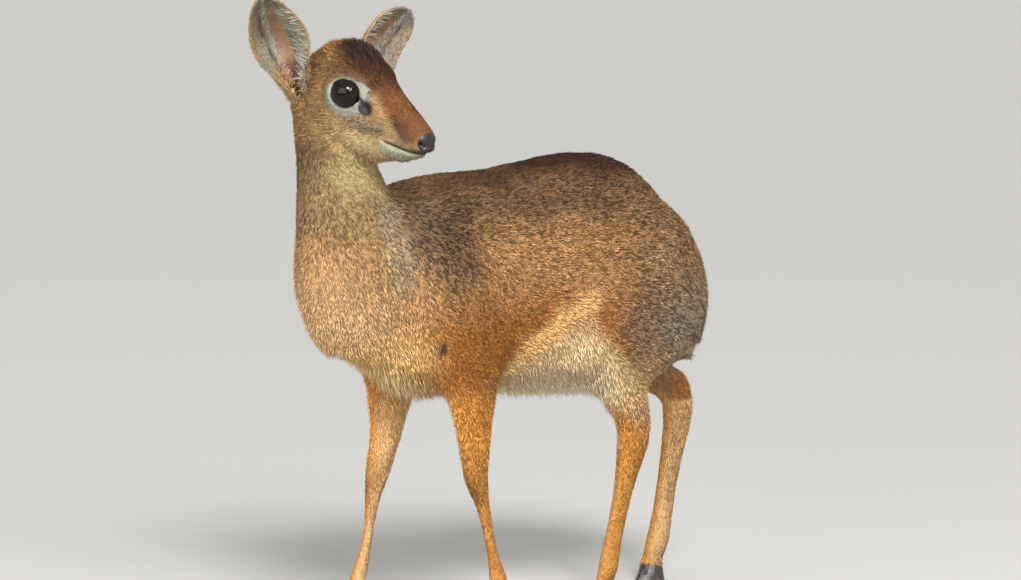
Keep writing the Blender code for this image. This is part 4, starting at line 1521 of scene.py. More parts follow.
    def _lock_share(self, points: np.ndarray) -> np.ndarray:
        """How much each point belongs to a place where the frame's locks are.

        Args:
            points: Points of the frame, in metres.

        Returns:
            A share for each point, from nought to one.
        """
        spot = BODY.into(points)
        along, height = spot[:, 0], spot[:, 2]
        under = (1 - faded(height, *self.belly_height)) * (1 - faded(np.abs(spot[:, 1]), *self.belly_half))
        under *= between(along, *self.belly_run)
        behind = (1 - faded(along, *self.rump_run)) * between(height, *self.rump_height)
        crown = HEAD.into(points)
        above = faded(crown[:, 2], *self.crown_height) * (1 - faded(crown[:, 0], *self.crown_front))
        return np.clip(under + behind + self.crown_share * above * (height > HEAD_FROM), 0, 1)

    def _flatten_locks(self) -> None:
        """Smooths away the locks that the render's own hair stands in for."""
        group = self.piece.vertex_groups.new(name="locks")
        share = self._lock_share(points_of(self.piece))
        for level in np.linspace(0.1, 1.0, 10):
            chosen = np.nonzero(np.abs(share - level) <= 0.05)[0]
            group.add(chosen.tolist(), float(level), "REPLACE")
        calm = self.piece.modifiers.new("calm", "SMOOTH")
        calm.factor = 0.5
        calm.iterations = self.lock_smoothing
        calm.vertex_group = "locks"
        melt = self.piece.modifiers.new("melt", "REMESH")
        melt.mode = "VOXEL"
        melt.voxel_size = self.voxel
        even = self.piece.modifiers.new("even", "SMOOTH")
        even.factor = 0.5
        even.iterations = 3
        apply_all(self.piece)
        self.piece.vertex_groups.clear()

    def _refine_face(self) -> None:
        """Divides the faces in front of the ears once more."""
        made = bmesh.new()
        made.from_mesh(self.piece.data)
        places = HEAD.into(points_of(self.piece))
        heights = BODY.into(points_of(self.piece))[:, 2]
        chosen = (places[:, 0] > self.fine_from) & (heights > HAIR_CHANGES[0])
        made.verts.ensure_lookup_table()
        edges = [edge for edge in made.edges if all(chosen[vert.index] for vert in edge.verts)]
        bmesh.ops.subdivide_edges(made, edges=edges, cuts=1, use_grid_fill=True, smooth=0.6)
        made.to_mesh(self.piece.data)
        made.free()

    def _sink(self) -> None:
        """Moves the skin in by the depth of the coat."""
        points = points_of(self.piece)
        set_points(self.piece, points - normals_of(self.piece) * PELT.depth(points)[:, None])

    def _sculpt(self) -> None:
        """Shapes the crown, the lids' bed, tear glands, lips, mouth and nostrils."""
        points = HEAD.into(points_of(self.piece))
        fold = np.where(points[:, 1] < 0, -1.0, 1.0)[:, None] * (0, 1, 0) + (1, 0, 1)
        normals = HEAD.turn_into(normals_of(self.piece)) * fold
        on_head = faded(BODY.into(points_of(self.piece))[:, 2], *FORMS_CHANGE)
        spot = points * fold
        for stroke in self.strokes:
            strength = np.exp(-(((spot - stroke.at) / stroke.reach) ** 2).sum(axis=1))
            spot = spot + np.outer(strength, stroke.push)
        slit = path_distance(spot, self.nostril)
        depth = self.nostril_depth * np.exp(-((slit / self.nostril_width) ** 2))
        line = path_distance(spot, FACE.corner)
        depth += self.corner_depth * np.exp(-((line / FACE.corner_width) ** 2))
        depth += self.mouth_depth * FACE.lips(spot, self.mouth_width)
        spot = self._behind_eye(spot - depth[:, None] * normals)
        set_points(self.piece, HEAD.out(blended(points, spot * fold, on_head)))

    @staticmethod
    def _behind_eye(spot: np.ndarray) -> np.ndarray:
        """Sinks the skin under the eyeball inside the lids' opening.

        Args:
            spot: Points on the head's axes, with y outwards.

        Returns:
            The points, moved.
        """
        spread, turn, out = FACE.on_eye(spot)
        opening = FACE.opening(turn)
        inside = (1 - faded(spread, opening - 0.06, opening + 0.1)) * faded(out, 0.0, 0.3)
        away = spot - FACE.eye_at
        radius = np.maximum(np.linalg.norm(away, axis=1), 1e-6)
        target = FACE.eye_at + away * ((FACE.eye_radius - 0.25) / radius)[:, None]
        return blended(spot, target, inside)

    def lighten(self) -> None:
        """Thins the skin's faces where the grown coat hides them."""
        away = np.linalg.norm(HEAD.into(points_of(self.piece)), axis=1)
        group = self.piece.vertex_groups.new(name="under_coat")
        group.add(np.nonzero(away > self.face_reach)[0].tolist(), 1.0, "REPLACE")
        thin = self.piece.modifiers.new("thin", "DECIMATE")
        thin.ratio = self.kept_share
        thin.vertex_group = group.name
        apply_all(self.piece)
        self.piece.vertex_groups.clear()
        LOG.info("%s, lightened: %d faces", self.piece.name, len(self.piece.data.polygons))

    def _paint(self) -> None:
        """Gives the skin its markings, and says where it is bare."""
        points = points_of(self.piece)
        colours, ticking = MARKINGS.look(points, normals_of(self.piece))
        colours = colours * (self.shade - self.ticked_shade * ticking)[:, None]
        spot, on_head = FACE.outside(points)
        # The line between the lips: partly dark lip skin, partly painted shade in the mouth's slit.
        colours = blended(colours, np.array(DARK_LIPS_AND_SHADE), FACE.lips(spot, FACE.lips_width) * on_head)
        # Painted shade: the nostrils' slits are painted darker than the nose pad.
        slit = path_distance(spot, self.nostril)
        nose = blended(np.tile(NOSE_DARK, (len(points), 1)), np.array(DARK_LIPS_AND_SHADE), 1 - faded(slit, 0.1, 0.22))
        share = FACE.nose(spot) * on_head
        colours = colours + (nose - colours) * share[:, None]
        set_attribute(self.piece, COAT_COLOUR, colours)
        gland = 0.35 * FACE.gland_share(spot) * on_head
        set_attribute(self.piece, BARE, np.maximum(share, gland))


@dataclass
class Eyes:
    """Two eyeballs with a raised cornea, each in a ring of bare black lid."""

    lid: float = 0.085
    cornea: float = 0.035

    def build(self) -> list[bpy.types.Object]:
        """Makes both eyes.

        Returns:
            The eyeballs and the lids.
        """
        gloss, rim = EyeFinish().make(), LidFinish().make()
        made = []
        for side in Side:
            name = side.name.lower()
            ball = self._ball(side)
            ball.name = "eyeball_" + name
            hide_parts("eye_" + name)
            made.append(finished(ball, gloss))
            lids = self._lids(side)
            lids.name = "eyelids_" + name
            made.append(finished(lids, rim))
        return made

    def _ball(self, side: Side) -> bpy.types.Object:
        """An eyeball of that side.

        Args:
            side: Which eye.

        Returns:
            The eyeball.
        """
        centre, looks, forward, upward = FACE.eye_frame(side)
        deselect_all()
        bpy.ops.mesh.primitive_uv_sphere_add(segments=64, ring_count=48, radius=1.0)
        ball = bpy.context.active_object
        sphere = points_of(ball)
        out = sphere[:, 2]
        spread = np.linalg.norm(sphere[:, :2], axis=1)
        bulge = 1 + self.cornea * (1 - faded(spread, 0.3, 0.8)) * (out > 0)
        local = sphere * bulge[:, None] * (FACE.eye_radius - 0.01)
        turned = centre + local[:, :1] * forward + local[:, 1:2] * upward + local[:, 2:] * looks
        set_points(ball, HEAD.out(turned))
        pupil = np.linalg.norm(sphere[:, :2] / (0.42, 0.24), axis=1)
        set_attribute(ball, IRIS, faded(pupil, 0.95, 1.1) * (1 - faded(spread, 0.7, 0.8)) * (out > 0))
        face_outwards(ball)
        return ball

    def _lids(self, side: Side) -> bpy.types.Object:
        """The ring of both lids round the opening on that side.

        Args:
            side: Which eye.

        Returns:
            The ring of lids.
        """
        centre, looks, forward, upward = FACE.eye_frame(side)
        deselect_all()
        bpy.ops.mesh.primitive_torus_add(
            major_segments=120, minor_segments=16, major_radius=1.0, minor_radius=0.25
        )
        ring = bpy.context.active_object
        points = points_of(ring)
        turn = np.arctan2(points[:, 1], points[:, 0])
        across = (np.linalg.norm(points[:, :2], axis=1) - 1.0) / 0.25
        edge = FACE.opening(np.degrees(turn))
        spread = edge + self.lid * across
        level = np.sqrt(np.maximum((FACE.eye_radius + 0.02) ** 2 - edge**2, 0.01))
        out = level + self.lid * points[:, 2] / 0.25 - 0.12 * np.maximum(across, 0)
        placed = centre + np.outer(spread * np.cos(turn), forward)
        placed = placed + np.outer(spread * np.sin(turn), upward) + np.outer(out, looks)
        set_points(ring, HEAD.out(placed))
        face_outwards(ring)
        return ring


@dataclass
class Ears:
    """Two cupped ears: bare and brown within, white fringes, a fine rim, and a short-haired back."""

    roots: dict[Side, Place] = field(
        default_factory=lambda: {Side.LEFT: (-2.5, 2.7, -1.0), Side.RIGHT: (-3.4, -2.0, -1.0)}
    )
    tips: dict[Side, Place] = field(
        default_factory=lambda: {Side.LEFT: (-2.0, 6.3, 7.0), Side.RIGHT: (-3.6, -8.7, 7.2)}
    )
    opens: dict[Side, Place] = field(
        default_factory=lambda: {Side.LEFT: (1.0, -0.15, 0.0), Side.RIGHT: (0.62, -0.75, 0.1)}
    )
    # Half the ear's width in centimetres at each share of its length.
    halves: tuple[tuple[float, float], ...] = (
        (0.0, 0.5),
        (0.2, 1.25),
        (0.45, 2.05),
        (0.65, 2.0),
        (0.85, 1.45),
        (1.0, 0.35),
    )
    # Inside the cup: a place from the inner rim to the outer, and the colour there.
    within: tuple[tuple[float, Colour], ...] = (
        (-1.0, EAR_RIM),
        (-0.9, EAR_RIM),
        (-0.82, EAR_LINE),
        (-0.72, EAR_WHITE),
        (-0.45, EAR_WHITE),
        (-0.25, EAR_BARE),
        (0.2, EAR_BARE),
        (0.32, EAR_WHITE),
        (0.46, EAR_WHITE),
        (0.53, EAR_LINE),
        (0.62, EAR_GREY),
        (0.9, EAR_GREY),
        (0.97, EAR_RIM),
        (1.0, EAR_RIM),
    )
    # A tuft's length and width in centimetres and its lift in degrees, on each part of the ear.
    short_hair: tuple[float, float, float] = (0.30, 0.045, 11.0)
    middle_hair: tuple[float, float, float] = (0.55, 0.05, 16.0)
    fringe_hair: tuple[float, float, float] = (1.0, 0.042, 11.0)
    root_hair: tuple[float, float, float] = (0.7, 0.07, 20.0)
    hair_density: float = 110.0
    # How bright a tuft is at its root, its band and its tip: the darker root is partly the hair's own dark
    # base and partly painted shade.
    hair_shades: tuple[float, float, float] = (0.7, 0.9, 1.15)
    pieces: dict[Side, bpy.types.Object] = field(default_factory=dict, init=False)

    def build(self) -> list[bpy.types.Object]:
        """Makes both ears from the frame's own, rounded and painted.

        Returns:
            The two ears.
        """
        finish = EarFinish().make()
        for side in Side:
            node = "ear_" + side.name.lower()
            piece = copy_of(node)
            piece.name = node + "_skin"
            smooth = piece.modifiers.new("round", "SUBSURF")
            smooth.levels = 2
            smooth.render_levels = 2
            apply_all(piece)
            if side is Side.LEFT:
                self._round_tip(piece)
            set_attribute(piece, COAT_COLOUR, self.colours(side, points_of(piece), normals_of(piece)))
            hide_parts(node)
            self.pieces[side] = finished(piece, finish)
        return list(self.pieces.values())

    def _round_tip(self, piece: bpy.types.Object) -> None:
        """Draws the left ear's tip in and widens it below.

        Args:
            piece: The left ear.
        """
        root, along, _, across, length = self.axes(Side.LEFT)
        local = HEAD.into(points_of(piece)) - root
        share = local @ along / length
        wider = 0.22 * faded(share, 0.55, 0.85)
        local = local + np.outer(wider * (local @ across), across)
        local = local - np.outer(0.3 * np.maximum(share - 0.78, 0) * length, along)
        set_points(piece, HEAD.out(local + root))

    def axes(self, side: Side) -> tuple[np.ndarray, np.ndarray, np.ndarray, np.ndarray, float]:
        """The ear's root, the ways along it, out of its cup and towards its outer rim, its length.

        Args:
            side: Which ear.

        Returns:
            Four rows of x, y and z on the head's axes, and a number.
        """
        root, tip = np.array(self.roots[side]), np.array(self.tips[side])
        along = unit(tip - root)
        opens = np.array(self.opens[side])
        facing = unit(opens - along * (opens @ along))
        return root, along, facing, np.cross(along, facing) * side.value, float(np.linalg.norm(tip - root))

    def shares(
        self, side: Side, points: np.ndarray, normals: np.ndarray
    ) -> tuple[np.ndarray, np.ndarray, np.ndarray]:
        """Where points are on the ear.

        Args:
            side: Which ear.
            points: Points of the frame.
            normals: The way out of the ear there.

        Returns:
            The share of its length, the place from its inner rim at -1 to its outer rim at 1, and
            how much the point is inside the cup.
        """
        root, along, facing, across, length = self.axes(side)
        local = HEAD.into(points) - root
        out = HEAD.turn_into(normals)
        share = local @ along / length
        half = np.interp(share, *np.array(self.halves).T)
        place = local @ across / half
        inward = out @ facing - 0.6 * np.sign(place) * (out @ across) * (np.abs(place) > 0.1)
        return share, place, faded(inward, -0.15, 0.15)

    def colours(self, side: Side, points: np.ndarray, normals: np.ndarray) -> np.ndarray:
        """The ear's colours at points of the frame.

        Args:
            side: Which ear.
            points: Points of the frame, in metres.
            normals: The way out of the surface there.

        Returns:
            A colour for each point.
        """
        share, place, inside = self.shares(side, points, normals)
        ragged = place + 0.1 * noise(points, 0.5 * CM, 8)
        places = [row[0] for row in self.within]
        within = np.column_stack(
            [np.interp(ragged, places, [row[1][i] for row in self.within]) for i in range(3)]
        )
        within = blended(within, np.array(EAR_WHITE), faded(share + 0.03 * ragged, 0.8, 0.88))
        # Painted shade: the deep middle of the cup, low by the ear's root, is darkened.
        deep = (1 - faded(share, 0.24, 0.38)) * (1 - faded(np.abs(place), 0.3, 0.6))
        within = blended(within, np.array(EAR_CUP_SHADE), deep)
        spot = np.exp(-((((share - 0.62) / 0.09) ** 2 + ((place - 0.42) / 0.16) ** 2) ** 1.5))
        within = blended(within, np.array(EAR_BARE), spot)
        found = blended(np.tile(EAR_BACK, (len(points), 1)), within, inside)
        return blended(found, np.array(EAR_RIM), 0.8 * faded(np.abs(place), 0.95, 1.02))

    def comb(self) -> list[bpy.types.Object]:
        """Grows the ears' hair: short on the back and the outer half, in long fringes inside.

        Returns:
            The pieces of hair.
        """
        finish = CoatFinish().make()
        made = []
        for side, piece in self.pieces.items():
            ground = Ground(piece)
            ground.unwrap()
            draw = np.random.default_rng(5 + side.value)
            tufts = self._tufts(side, ground, draw)
            name = f"ear_{side.name.lower()}_hair"
            made.append(finished(put_in_scene(name, tufts.mesh(name)), finish))
        return made

    def _tufts(self, side: Side, ground: "Ground", draw: np.random.Generator) -> "Tufts":
        """The hair of one ear.

        Args:
            side: Which ear.
            ground: The ear as a surface.
            draw: The random draw.

        Returns:
            The tufts.
        """
        _, along, _, across, _ = self.axes(side)
        density = self.hair_density
        points, normals, places = ground.scatter(lambda at, out: np.full(len(at), density), draw)
        share, place, inside = self.shares(side, points, normals)
        bare = inside * (1 - faded(np.abs(place + 0.02), 0.24, 0.34)) * (1 - faded(share, 0.8, 0.9))
        fringe = inside * (1 - faded(place, -0.6, -0.4)) * (1 - faded(share, 0.75, 0.9))
        middle = inside * faded(place, 0.22, 0.32) * (1 - faded(place, 0.46, 0.56))
        root = 1 - faded(share, 0.2, 0.36)
        keep = draw.random(len(points)) < (1 - 0.97 * bare) * (1 - 0.4 * fringe) * (share > 0.02)
        points, normals, places, share, place, inside, fringe, middle, root = (
            rows[keep] for rows in (points, normals, places, share, place, inside, fringe, middle, root)
        )
        count = len(points)
        sizes = np.tile(self.short_hair, (count, 1))
        sizes = blended(sizes, np.array(self.middle_hair), middle)
        sizes = blended(sizes, np.array(self.fringe_hair), fringe)
        sizes = blended(sizes, np.array(self.root_hair), root * (1 - 0.5 * inside))
        sizes *= 1 + 0.18 * draw.normal(size=(count, 3))
        length, width, lift = sizes.T
        lie = np.tile(HEAD.turn_out(along), (count, 1))
        outer = HEAD.turn_out(across)
        lie = lie + outer * (1.6 * fringe - 0.9 * middle + 0.35 * np.sign(place) * (1 - inside))[:, None]
        lie = lie - normals * (lie * normals).sum(axis=1, keepdims=True)
        lie = unit(unit(lie) + 0.2 * draw.normal(size=(count, 3)))
        lift = np.radians(np.clip(lift, 3, 40))
        starts = unit(lie * np.cos(lift)[:, None] + normals * np.sin(lift * 1.3)[:, None])
        ends = unit(lie + normals * np.sin(lift * 0.3)[:, None])
        colours = self.colours(side, points, normals)
        colours = blended(colours, np.array(FRINGE_WHITE), np.maximum(fringe, middle))
        outer_root = (1 - faded(share, 0.24, 0.38)) * faded(place, 0.2, 0.5)
        colours = blended(colours, np.array(CHEEK_TAN), np.maximum(0.8 * root * (1 - inside), outer_root))
        bright = np.exp(0.22 * draw.normal(size=(count, 1)))
        base, band, tip = (colours * bright * shade for shade in self.hair_shades)
        start = points - normals * (0.2 * MM)
        length, width = length.clip(0.1) * CM, width.clip(0.02) * CM
        return Tufts(start, normals, starts, ends, length, width, base, band, limited(tip), places)


@dataclass
class Hooves:
    """Four cloven hooves of dark horn."""

    names: tuple[str, ...] = ("hoof_fore_left", "hoof_fore_right", "hoof_hind_left", "hoof_hind_right")
    taper: float = 0.07
    slope: float = 0.45

    def build(self) -> list[bpy.types.Object]:
        """Makes the hooves from the frame's own, with rounded edges.

        Returns:
            The hooves.
        """
        horn = HornFinish().make()
        made = []
        for name in self.names:
            piece = copy_of(name)
            piece.name = name + "_horn"
            self._slope_top(piece)
            bevel = piece.modifiers.new("worn", "BEVEL")
            bevel.width = 0.5 * MM
            bevel.segments = 3
            bevel.limit_method = "ANGLE"
            apply_all(piece)
            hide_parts(name)
            made.append(finished(piece, horn))
        return made

    def _slope_top(self, piece: bpy.types.Object) -> None:
        """Draws the hoof's top in round the leg and slopes it down to the front.

        Args:
            piece: The hoof.
        """
        points = points_of(piece)
        low, high = points.min(axis=0), points.max(axis=0)
        leg = np.array(((low[0] + high[0]) / 2, high[1] - Skin.heel * CM))
        level = faded(points[:, 2] / high[2], 0.45, 1.0)
        ahead = faded(leg[1] - points[:, 1], 0.5 * CM, 1.5 * CM)
        points[:, :2] += (leg - points[:, :2]) * (self.taper * level)[:, None]
        points[:, 2] -= self.slope * CM * level * ahead
        set_points(piece, points)


@dataclass
class Tufts:
    """Many tufts of hair, as arrays: each a flat, bent spike with a ridge along its top.

    Args:
        roots: Where each leaves the skin, in metres.
        normals: The way out of the skin there.
        starts: The way each leaves it.
        ends: The way its tip points.
        lengths: How long each is, in metres.
        widths: How wide each is, in metres.
        base: Its colour at the root.
        band: Its colour in the middle.
        tip: Its colour at the tip.
        places: Its root's place on the skin's unwrap.
    """

    roots: np.ndarray
    normals: np.ndarray
    starts: np.ndarray
    ends: np.ndarray
    lengths: np.ndarray
    widths: np.ndarray
    base: np.ndarray
    band: np.ndarray
    tip: np.ndarray
    places: np.ndarray
    rings: tuple[tuple[float, float], ...] = ((0.0, 0.75), (0.55, 0.9))
    flatness: float = 0.3
    patch: float = 0.003

    def chosen(self, rows: np.ndarray, rings: tuple[tuple[float, float], ...]) -> "Tufts":
        """Only these rows of tufts, with these rings.

        Args:
            rows: The rows to keep.
            rings: The rings that each tuft is built of.

        Returns:
            The tufts.
        """
        names = ("roots", "normals", "starts", "ends", "lengths", "widths", "base", "band", "tip", "places")
        rest = {name: getattr(self, name)[rows] for name in names}
        return Tufts(**rest, rings=rings)

    def _centre(self, share: float) -> np.ndarray:
        """The middle of every tuft at that share of its length."""
        run = self.starts * (share - share**2 / 2) + self.ends * share**2 / 2
        return self.roots + run * self.lengths[:, None]

    def mesh(self, name: str) -> bpy.types.Mesh:
        """Joins the tufts into one mesh.

        Args:
            name: The mesh's name.

        Returns:
            The mesh, with its colours and its bake map.
        """
        count, per = len(self.roots), 3 * len(self.rings) + 1
        points = np.empty((count, per, 3))
        colours = np.empty((count, per, 4))
        colours[:, :, 3] = 1.0
        places = np.empty((count, per, 2))
        for row, (share, wide) in enumerate(self.rings):
            centre = self._centre(share)
            along = unit(self.starts * (1 - share) + self.ends * share)
            across = unit(np.cross(along, self.normals))
            over = np.cross(across, along)
            half = 0.5 * wide * self.widths[:, None]
            colour = self.base if row < len(self.rings) - 1 else self.band
            sides = ((-across * half, -0.5), (across * half, 0.5), (over * half * 2 * self.flatness, 0.0))
            for i, (shift, turn) in enumerate(sides):
                points[:, 3 * row + i] = centre + shift
                colours[:, 3 * row + i, :3] = colour
                places[:, 3 * row + i] = self.places + (turn * self.patch, (share - 0.5) * self.patch)
        points[:, -1] = self._centre(1.0)
        colours[:, -1, :3] = self.tip
        places[:, -1] = self.places + (0.0, 0.5 * self.patch)
        faces = self.faces()
        corners = (faces[None] + per * np.arange(count)[:, None, None]).reshape(-1)
        points, colours, places = (rows.reshape(-1, rows.shape[-1]) for rows in (points, colours, places))
        return joined_mesh(name, points, corners, colours, places)

    def faces(self) -> np.ndarray:
        """The corners of one tuft's triangles.

        Returns:
            Three corners for each triangle.
        """
        faces = []
        for row in range(len(self.rings) - 1):
            for i in range(3):
                a, b = 3 * row + i, 3 * row + (i + 1) % 3
                faces += [(a, b, b + 3), (a, b + 3, a + 3)]
        last, tip = 3 * (len(self.rings) - 1), 3 * len(self.rings)
        faces += [(last + i, last + (i + 1) % 3, tip) for i in range(3)]
        return np.array(faces)


def joined_mesh(
    name: str, points: np.ndarray, corners: np.ndarray, colours: np.ndarray, places: np.ndarray
) -> bpy.types.Mesh:
    """A mesh of triangles made from arrays.

    Args:
        name: Its name.
        points: Its points.
        corners: Three point numbers for each triangle, in one row.
        colours: A colour with alpha for each point.
        places: Each point's place on the bake map.

    Returns:
        The mesh.
    """
    mesh = bpy.data.meshes.new(name)
    mesh.vertices.add(len(points))
    mesh.vertices.foreach_set("co", points.astype(np.float32).ravel())
    mesh.loops.add(len(corners))
    mesh.loops.foreach_set("vertex_index", corners.astype(np.int32))
    mesh.polygons.add(len(corners) // 3)
    mesh.polygons.foreach_set("loop_start", np.arange(0, len(corners), 3, dtype=np.int32))
    layer = mesh.color_attributes.new(name=COAT_COLOUR, type="FLOAT_COLOR", domain="POINT")
    layer.data.foreach_set("color", colours.astype(np.float32).ravel())
    uv = mesh.uv_layers.new(name=BAKE_MAP)
    uv.data.foreach_set("uv", places[corners].astype(np.float32).ravel())
    mesh.update(calc_edges=True)
    return mesh


@dataclass
class Ground:
    """A surface that hair grows on, as arrays of its triangles."""

    piece: bpy.types.Object

    def __post_init__(self) -> None:
        """Reads the piece's triangles, normals and bake map."""
        mesh = self.piece.data
        mesh.calc_loop_triangles()
        count = len(mesh.loop_triangles)
        corners = np.empty(count * 3, np.int32)
        mesh.loop_triangles.foreach_get("vertices", corners)
        loops = np.empty(count * 3, np.int32)
        mesh.loop_triangles.foreach_get("loops", loops)
        self.corners = corners.reshape(-1, 3)
        self.points = points_of(self.piece)
        self.normals = normals_of(self.piece)
        if BAKE_MAP in mesh.uv_layers:
            uv = np.empty(len(mesh.loops) * 2, np.float32)
            mesh.uv_layers[BAKE_MAP].data.foreach_get("uv", uv)
            self.map = uv.reshape(-1, 2)[loops.reshape(-1, 3)]
        else:
            self.map = np.zeros((count, 3, 2))

    def unwrap(self) -> None:
        """Unwraps the piece by its own shape."""
        activate(self.piece)
        self.piece.data.uv_layers.new(name=BAKE_MAP)
        bpy.ops.object.mode_set(mode="EDIT")
        bpy.ops.mesh.select_all(action="SELECT")
        bpy.ops.uv.smart_project(angle_limit=math.radians(66), island_margin=0.002)
        deselect_all()
        self.__post_init__()

    def scatter(
        self, density: Callable[[np.ndarray, np.ndarray], np.ndarray], draw: np.random.Generator
    ) -> tuple[np.ndarray, np.ndarray, np.ndarray]:
        """Picks places on the surface.

        Args:
            density: Gives the tufts in a square centimetre for points and their normals.
            draw: The random draw.

        Returns:
            The places, the normals there, and their places on the bake map.
        """
        triangles = self.points[self.corners]
        middles = triangles.mean(axis=1)
        cross = np.cross(triangles[:, 1] - triangles[:, 0], triangles[:, 2] - triangles[:, 0])
        area = 0.5 * np.linalg.norm(cross, axis=1) / CM**2
        wanted = area * density(middles, unit(cross))
        counts = np.floor(wanted + draw.random(len(wanted))).astype(int)
        which = np.repeat(np.arange(len(counts)), counts)
        first, second = draw.random((2, len(which)))
        over = first + second > 1
        first[over], second[over] = 1 - first[over], 1 - second[over]
        share = np.column_stack([1 - first - second, first, second])
        points = (triangles[which] * share[:, :, None]).sum(axis=1)
        normals = unit((self.normals[self.corners[which]] * share[:, :, None]).sum(axis=1))
        places = (self.map[which] * share[:, :, None]).sum(axis=1)
        return points, normals, places


@dataclass
class Coat:
    """The whole coat of tufts, from the skin's own shape and the pelt's fields."""

    ground: Ground
    seed: int = 11
    cover: float = 2.3
    quick_share: float = 0.35
    most: int = 195000
    clump: float = 0.5 * CM
    fine_length: float = 0.66 * CM
    full_shade: float = 0.85
    coarse: Spot = body((-17.0, 3.0, 22.5), (5.5, 5.5, 5.5))
    body_ticks: float = 0.145 * CM
    head_ticks: float = 0.12 * CM
    coarse_ticks: float = 0.26 * CM
    tick_spread: float = 0.3
    tick_level: float = -0.04
    dark_tick: float = 0.72
    light_tick: float = 0.45
    # How unevenly tufts sway and lift, from one to the next and from place to place, and their lengths.
    sway: tuple[float, float] = (0.15, 0.2)
    uneven_lift: tuple[float, float] = (0.2, 0.25)
    uneven_length: float = 0.16
    lowest: float = 1.75

    def density(self, points: np.ndarray, normals: np.ndarray) -> np.ndarray:
        """How many tufts a square centimetre has, so that they cover the skin alike everywhere.

        Args:
            points: Points of the frame, in metres.
            normals: Not used.

        Returns:
            A number for each point.
        """
        length, width, *_ = PELT.growth(points)
        found = self.cover / (0.6 * length * width / CM**2)
        found = found * (FACE.bare(points) < 0.5) * (BODY.into(points)[:, 2] > self.lowest)
        return found * 1.0

    def build(self) -> list[bpy.types.Object]:
        """Grows the coat.

        Returns:
            Its pieces.
        """
        draw = np.random.default_rng(self.seed)
        points, normals, places = self.ground.scatter(self.density, draw)
        tufts = self._tufts(points, normals, places, draw)
        fine = tufts.lengths * np.exp(0.25 * draw.normal(size=len(points))) < self.fine_length
        short = tufts.chosen(fine, ((0.05, 1.0),))
        # The single ring at a short tuft's root is darker than its tip: partly the hair's own banding,
        # partly painted shade.
        short.band = 0.56 * short.tip + 0.16 * short.band
        full = tufts.chosen(~fine, tufts.rings)
        full.band = self.full_shade * (0.55 * full.tip + 0.45 * full.band)
        full.tip *= self.full_shade
        return self._pieces(short, "fine_coat") + self._pieces(full, "coat")

    def _tufts(
        self, points: np.ndarray, normals: np.ndarray, places: np.ndarray, draw: np.random.Generator
    ) -> Tufts:
        """The tufts that grow at these places.

        Args:
            points: Where they grow.
            normals: The way out of the surface there.
            places: Their places on the bake map.
            draw: The random draw.

        Returns:
            The tufts.
        """
        count = len(points)
        length, width, lift, clump, hang = PELT.growth(points)
        lie = PELT.lie(points, normals)
        across = np.cross(normals, lie)
        sway = self.sway[0] * draw.normal(size=count) + self.sway[1] * noise(points, 1.3 * CM, 21)
        lie = unit(lie + across * sway[:, None])
        pull = self._clump_pull(points) * clump[:, None]
        lift = lift * (1 + self.uneven_lift[0] * draw.normal(size=count))
        lift = lift * (1 + self.uneven_lift[1] * noise(points, 0.9 * CM, 5))
        length = length * (1 + self.uneven_length * draw.normal(size=count)).clip(0.6, 1.4)
        starts = unit(lie * np.cos(lift)[:, None] + normals * np.sin(lift)[:, None] + 0.3 * pull)
        ends = unit(lie + normals * np.sin(lift * 0.45)[:, None] + pull)
        ends = unit(blended(ends, BODY.turn_out((-0.25, 0.0, -1.0)), hang))
        base, band, tip = self._colours(points, normals, draw)
        root = points - normals * (0.3 * MM)
        return Tufts(root, normals, starts, ends, length, width, base, band, tip, places)

    def _colours(
        self, points: np.ndarray, normals: np.ndarray, draw: np.random.Generator
    ) -> tuple[np.ndarray, np.ndarray, np.ndarray]:
        """Each tuft's colours at its root, its band and its tip, which is light or dark if ticked.

        Args:
            points: Where the tufts grow.
            normals: The way out of the surface there.
            draw: The random draw.

        Returns:
            Three sets of colours.
        """
        count = len(points)
        colours, ticking = MARKINGS.look(points, normals)
        on_head = faded(BODY.into(points)[:, 2], *LOOKS_CHANGE)
        spots = noise(points, self.body_ticks, 9) * (1 - on_head)
        spots = spots + noise(points, self.head_ticks, 10) * on_head
        coarse = self.coarse.share(points)
        spots = spots * (1 - coarse) + noise(points, self.coarse_ticks, 12) * coarse
        dark = self.tick_spread * draw.normal(size=count) + spots < self.tick_level
        shade = np.where(dark, 1 - self.dark_tick * ticking, 1 + self.light_tick * ticking)
        shade = shade * np.exp(0.13 * draw.normal(size=count) + 0.08 * noise(points, 0.8 * CM, 14))
        tip = limited(colours * (shade * 1.08)[:, None])
        band = limited(colours * (1 - 0.1 * ticking)[:, None])
        # A darker root, the more so where ticked: partly the hair's own dark base, partly painted shade
        # among the tufts.
        base = colours * (0.84 - 0.45 * ticking)[:, None]
        return base, band, tip

    def _clump_pull(self, points: np.ndarray) -> np.ndarray:
        """The way from each place to the middle of its clump, about one long at the clump's edge.

        Args:
            points: Points of the frame, in metres.

        Returns:
            A row of x, y and z for each place.
        """
        cells = np.floor(points / self.clump)
        best = np.full(len(points), np.inf)
        found = np.zeros_like(points)
        for corner in itertools.product((-1, 0, 1), repeat=3):
            at = cells + corner
            shift = np.column_stack([noise(at * 7.3 + 0.5, 1.0, 30 + axis) for axis in range(3)])
            centre = (at + 0.5 + 0.5 * shift) * self.clump
            gap = np.linalg.norm(centre - points, axis=1)
            nearer = gap < best
            best[nearer] = gap[nearer]
            found[nearer] = (centre - points)[nearer]
        return found / self.clump

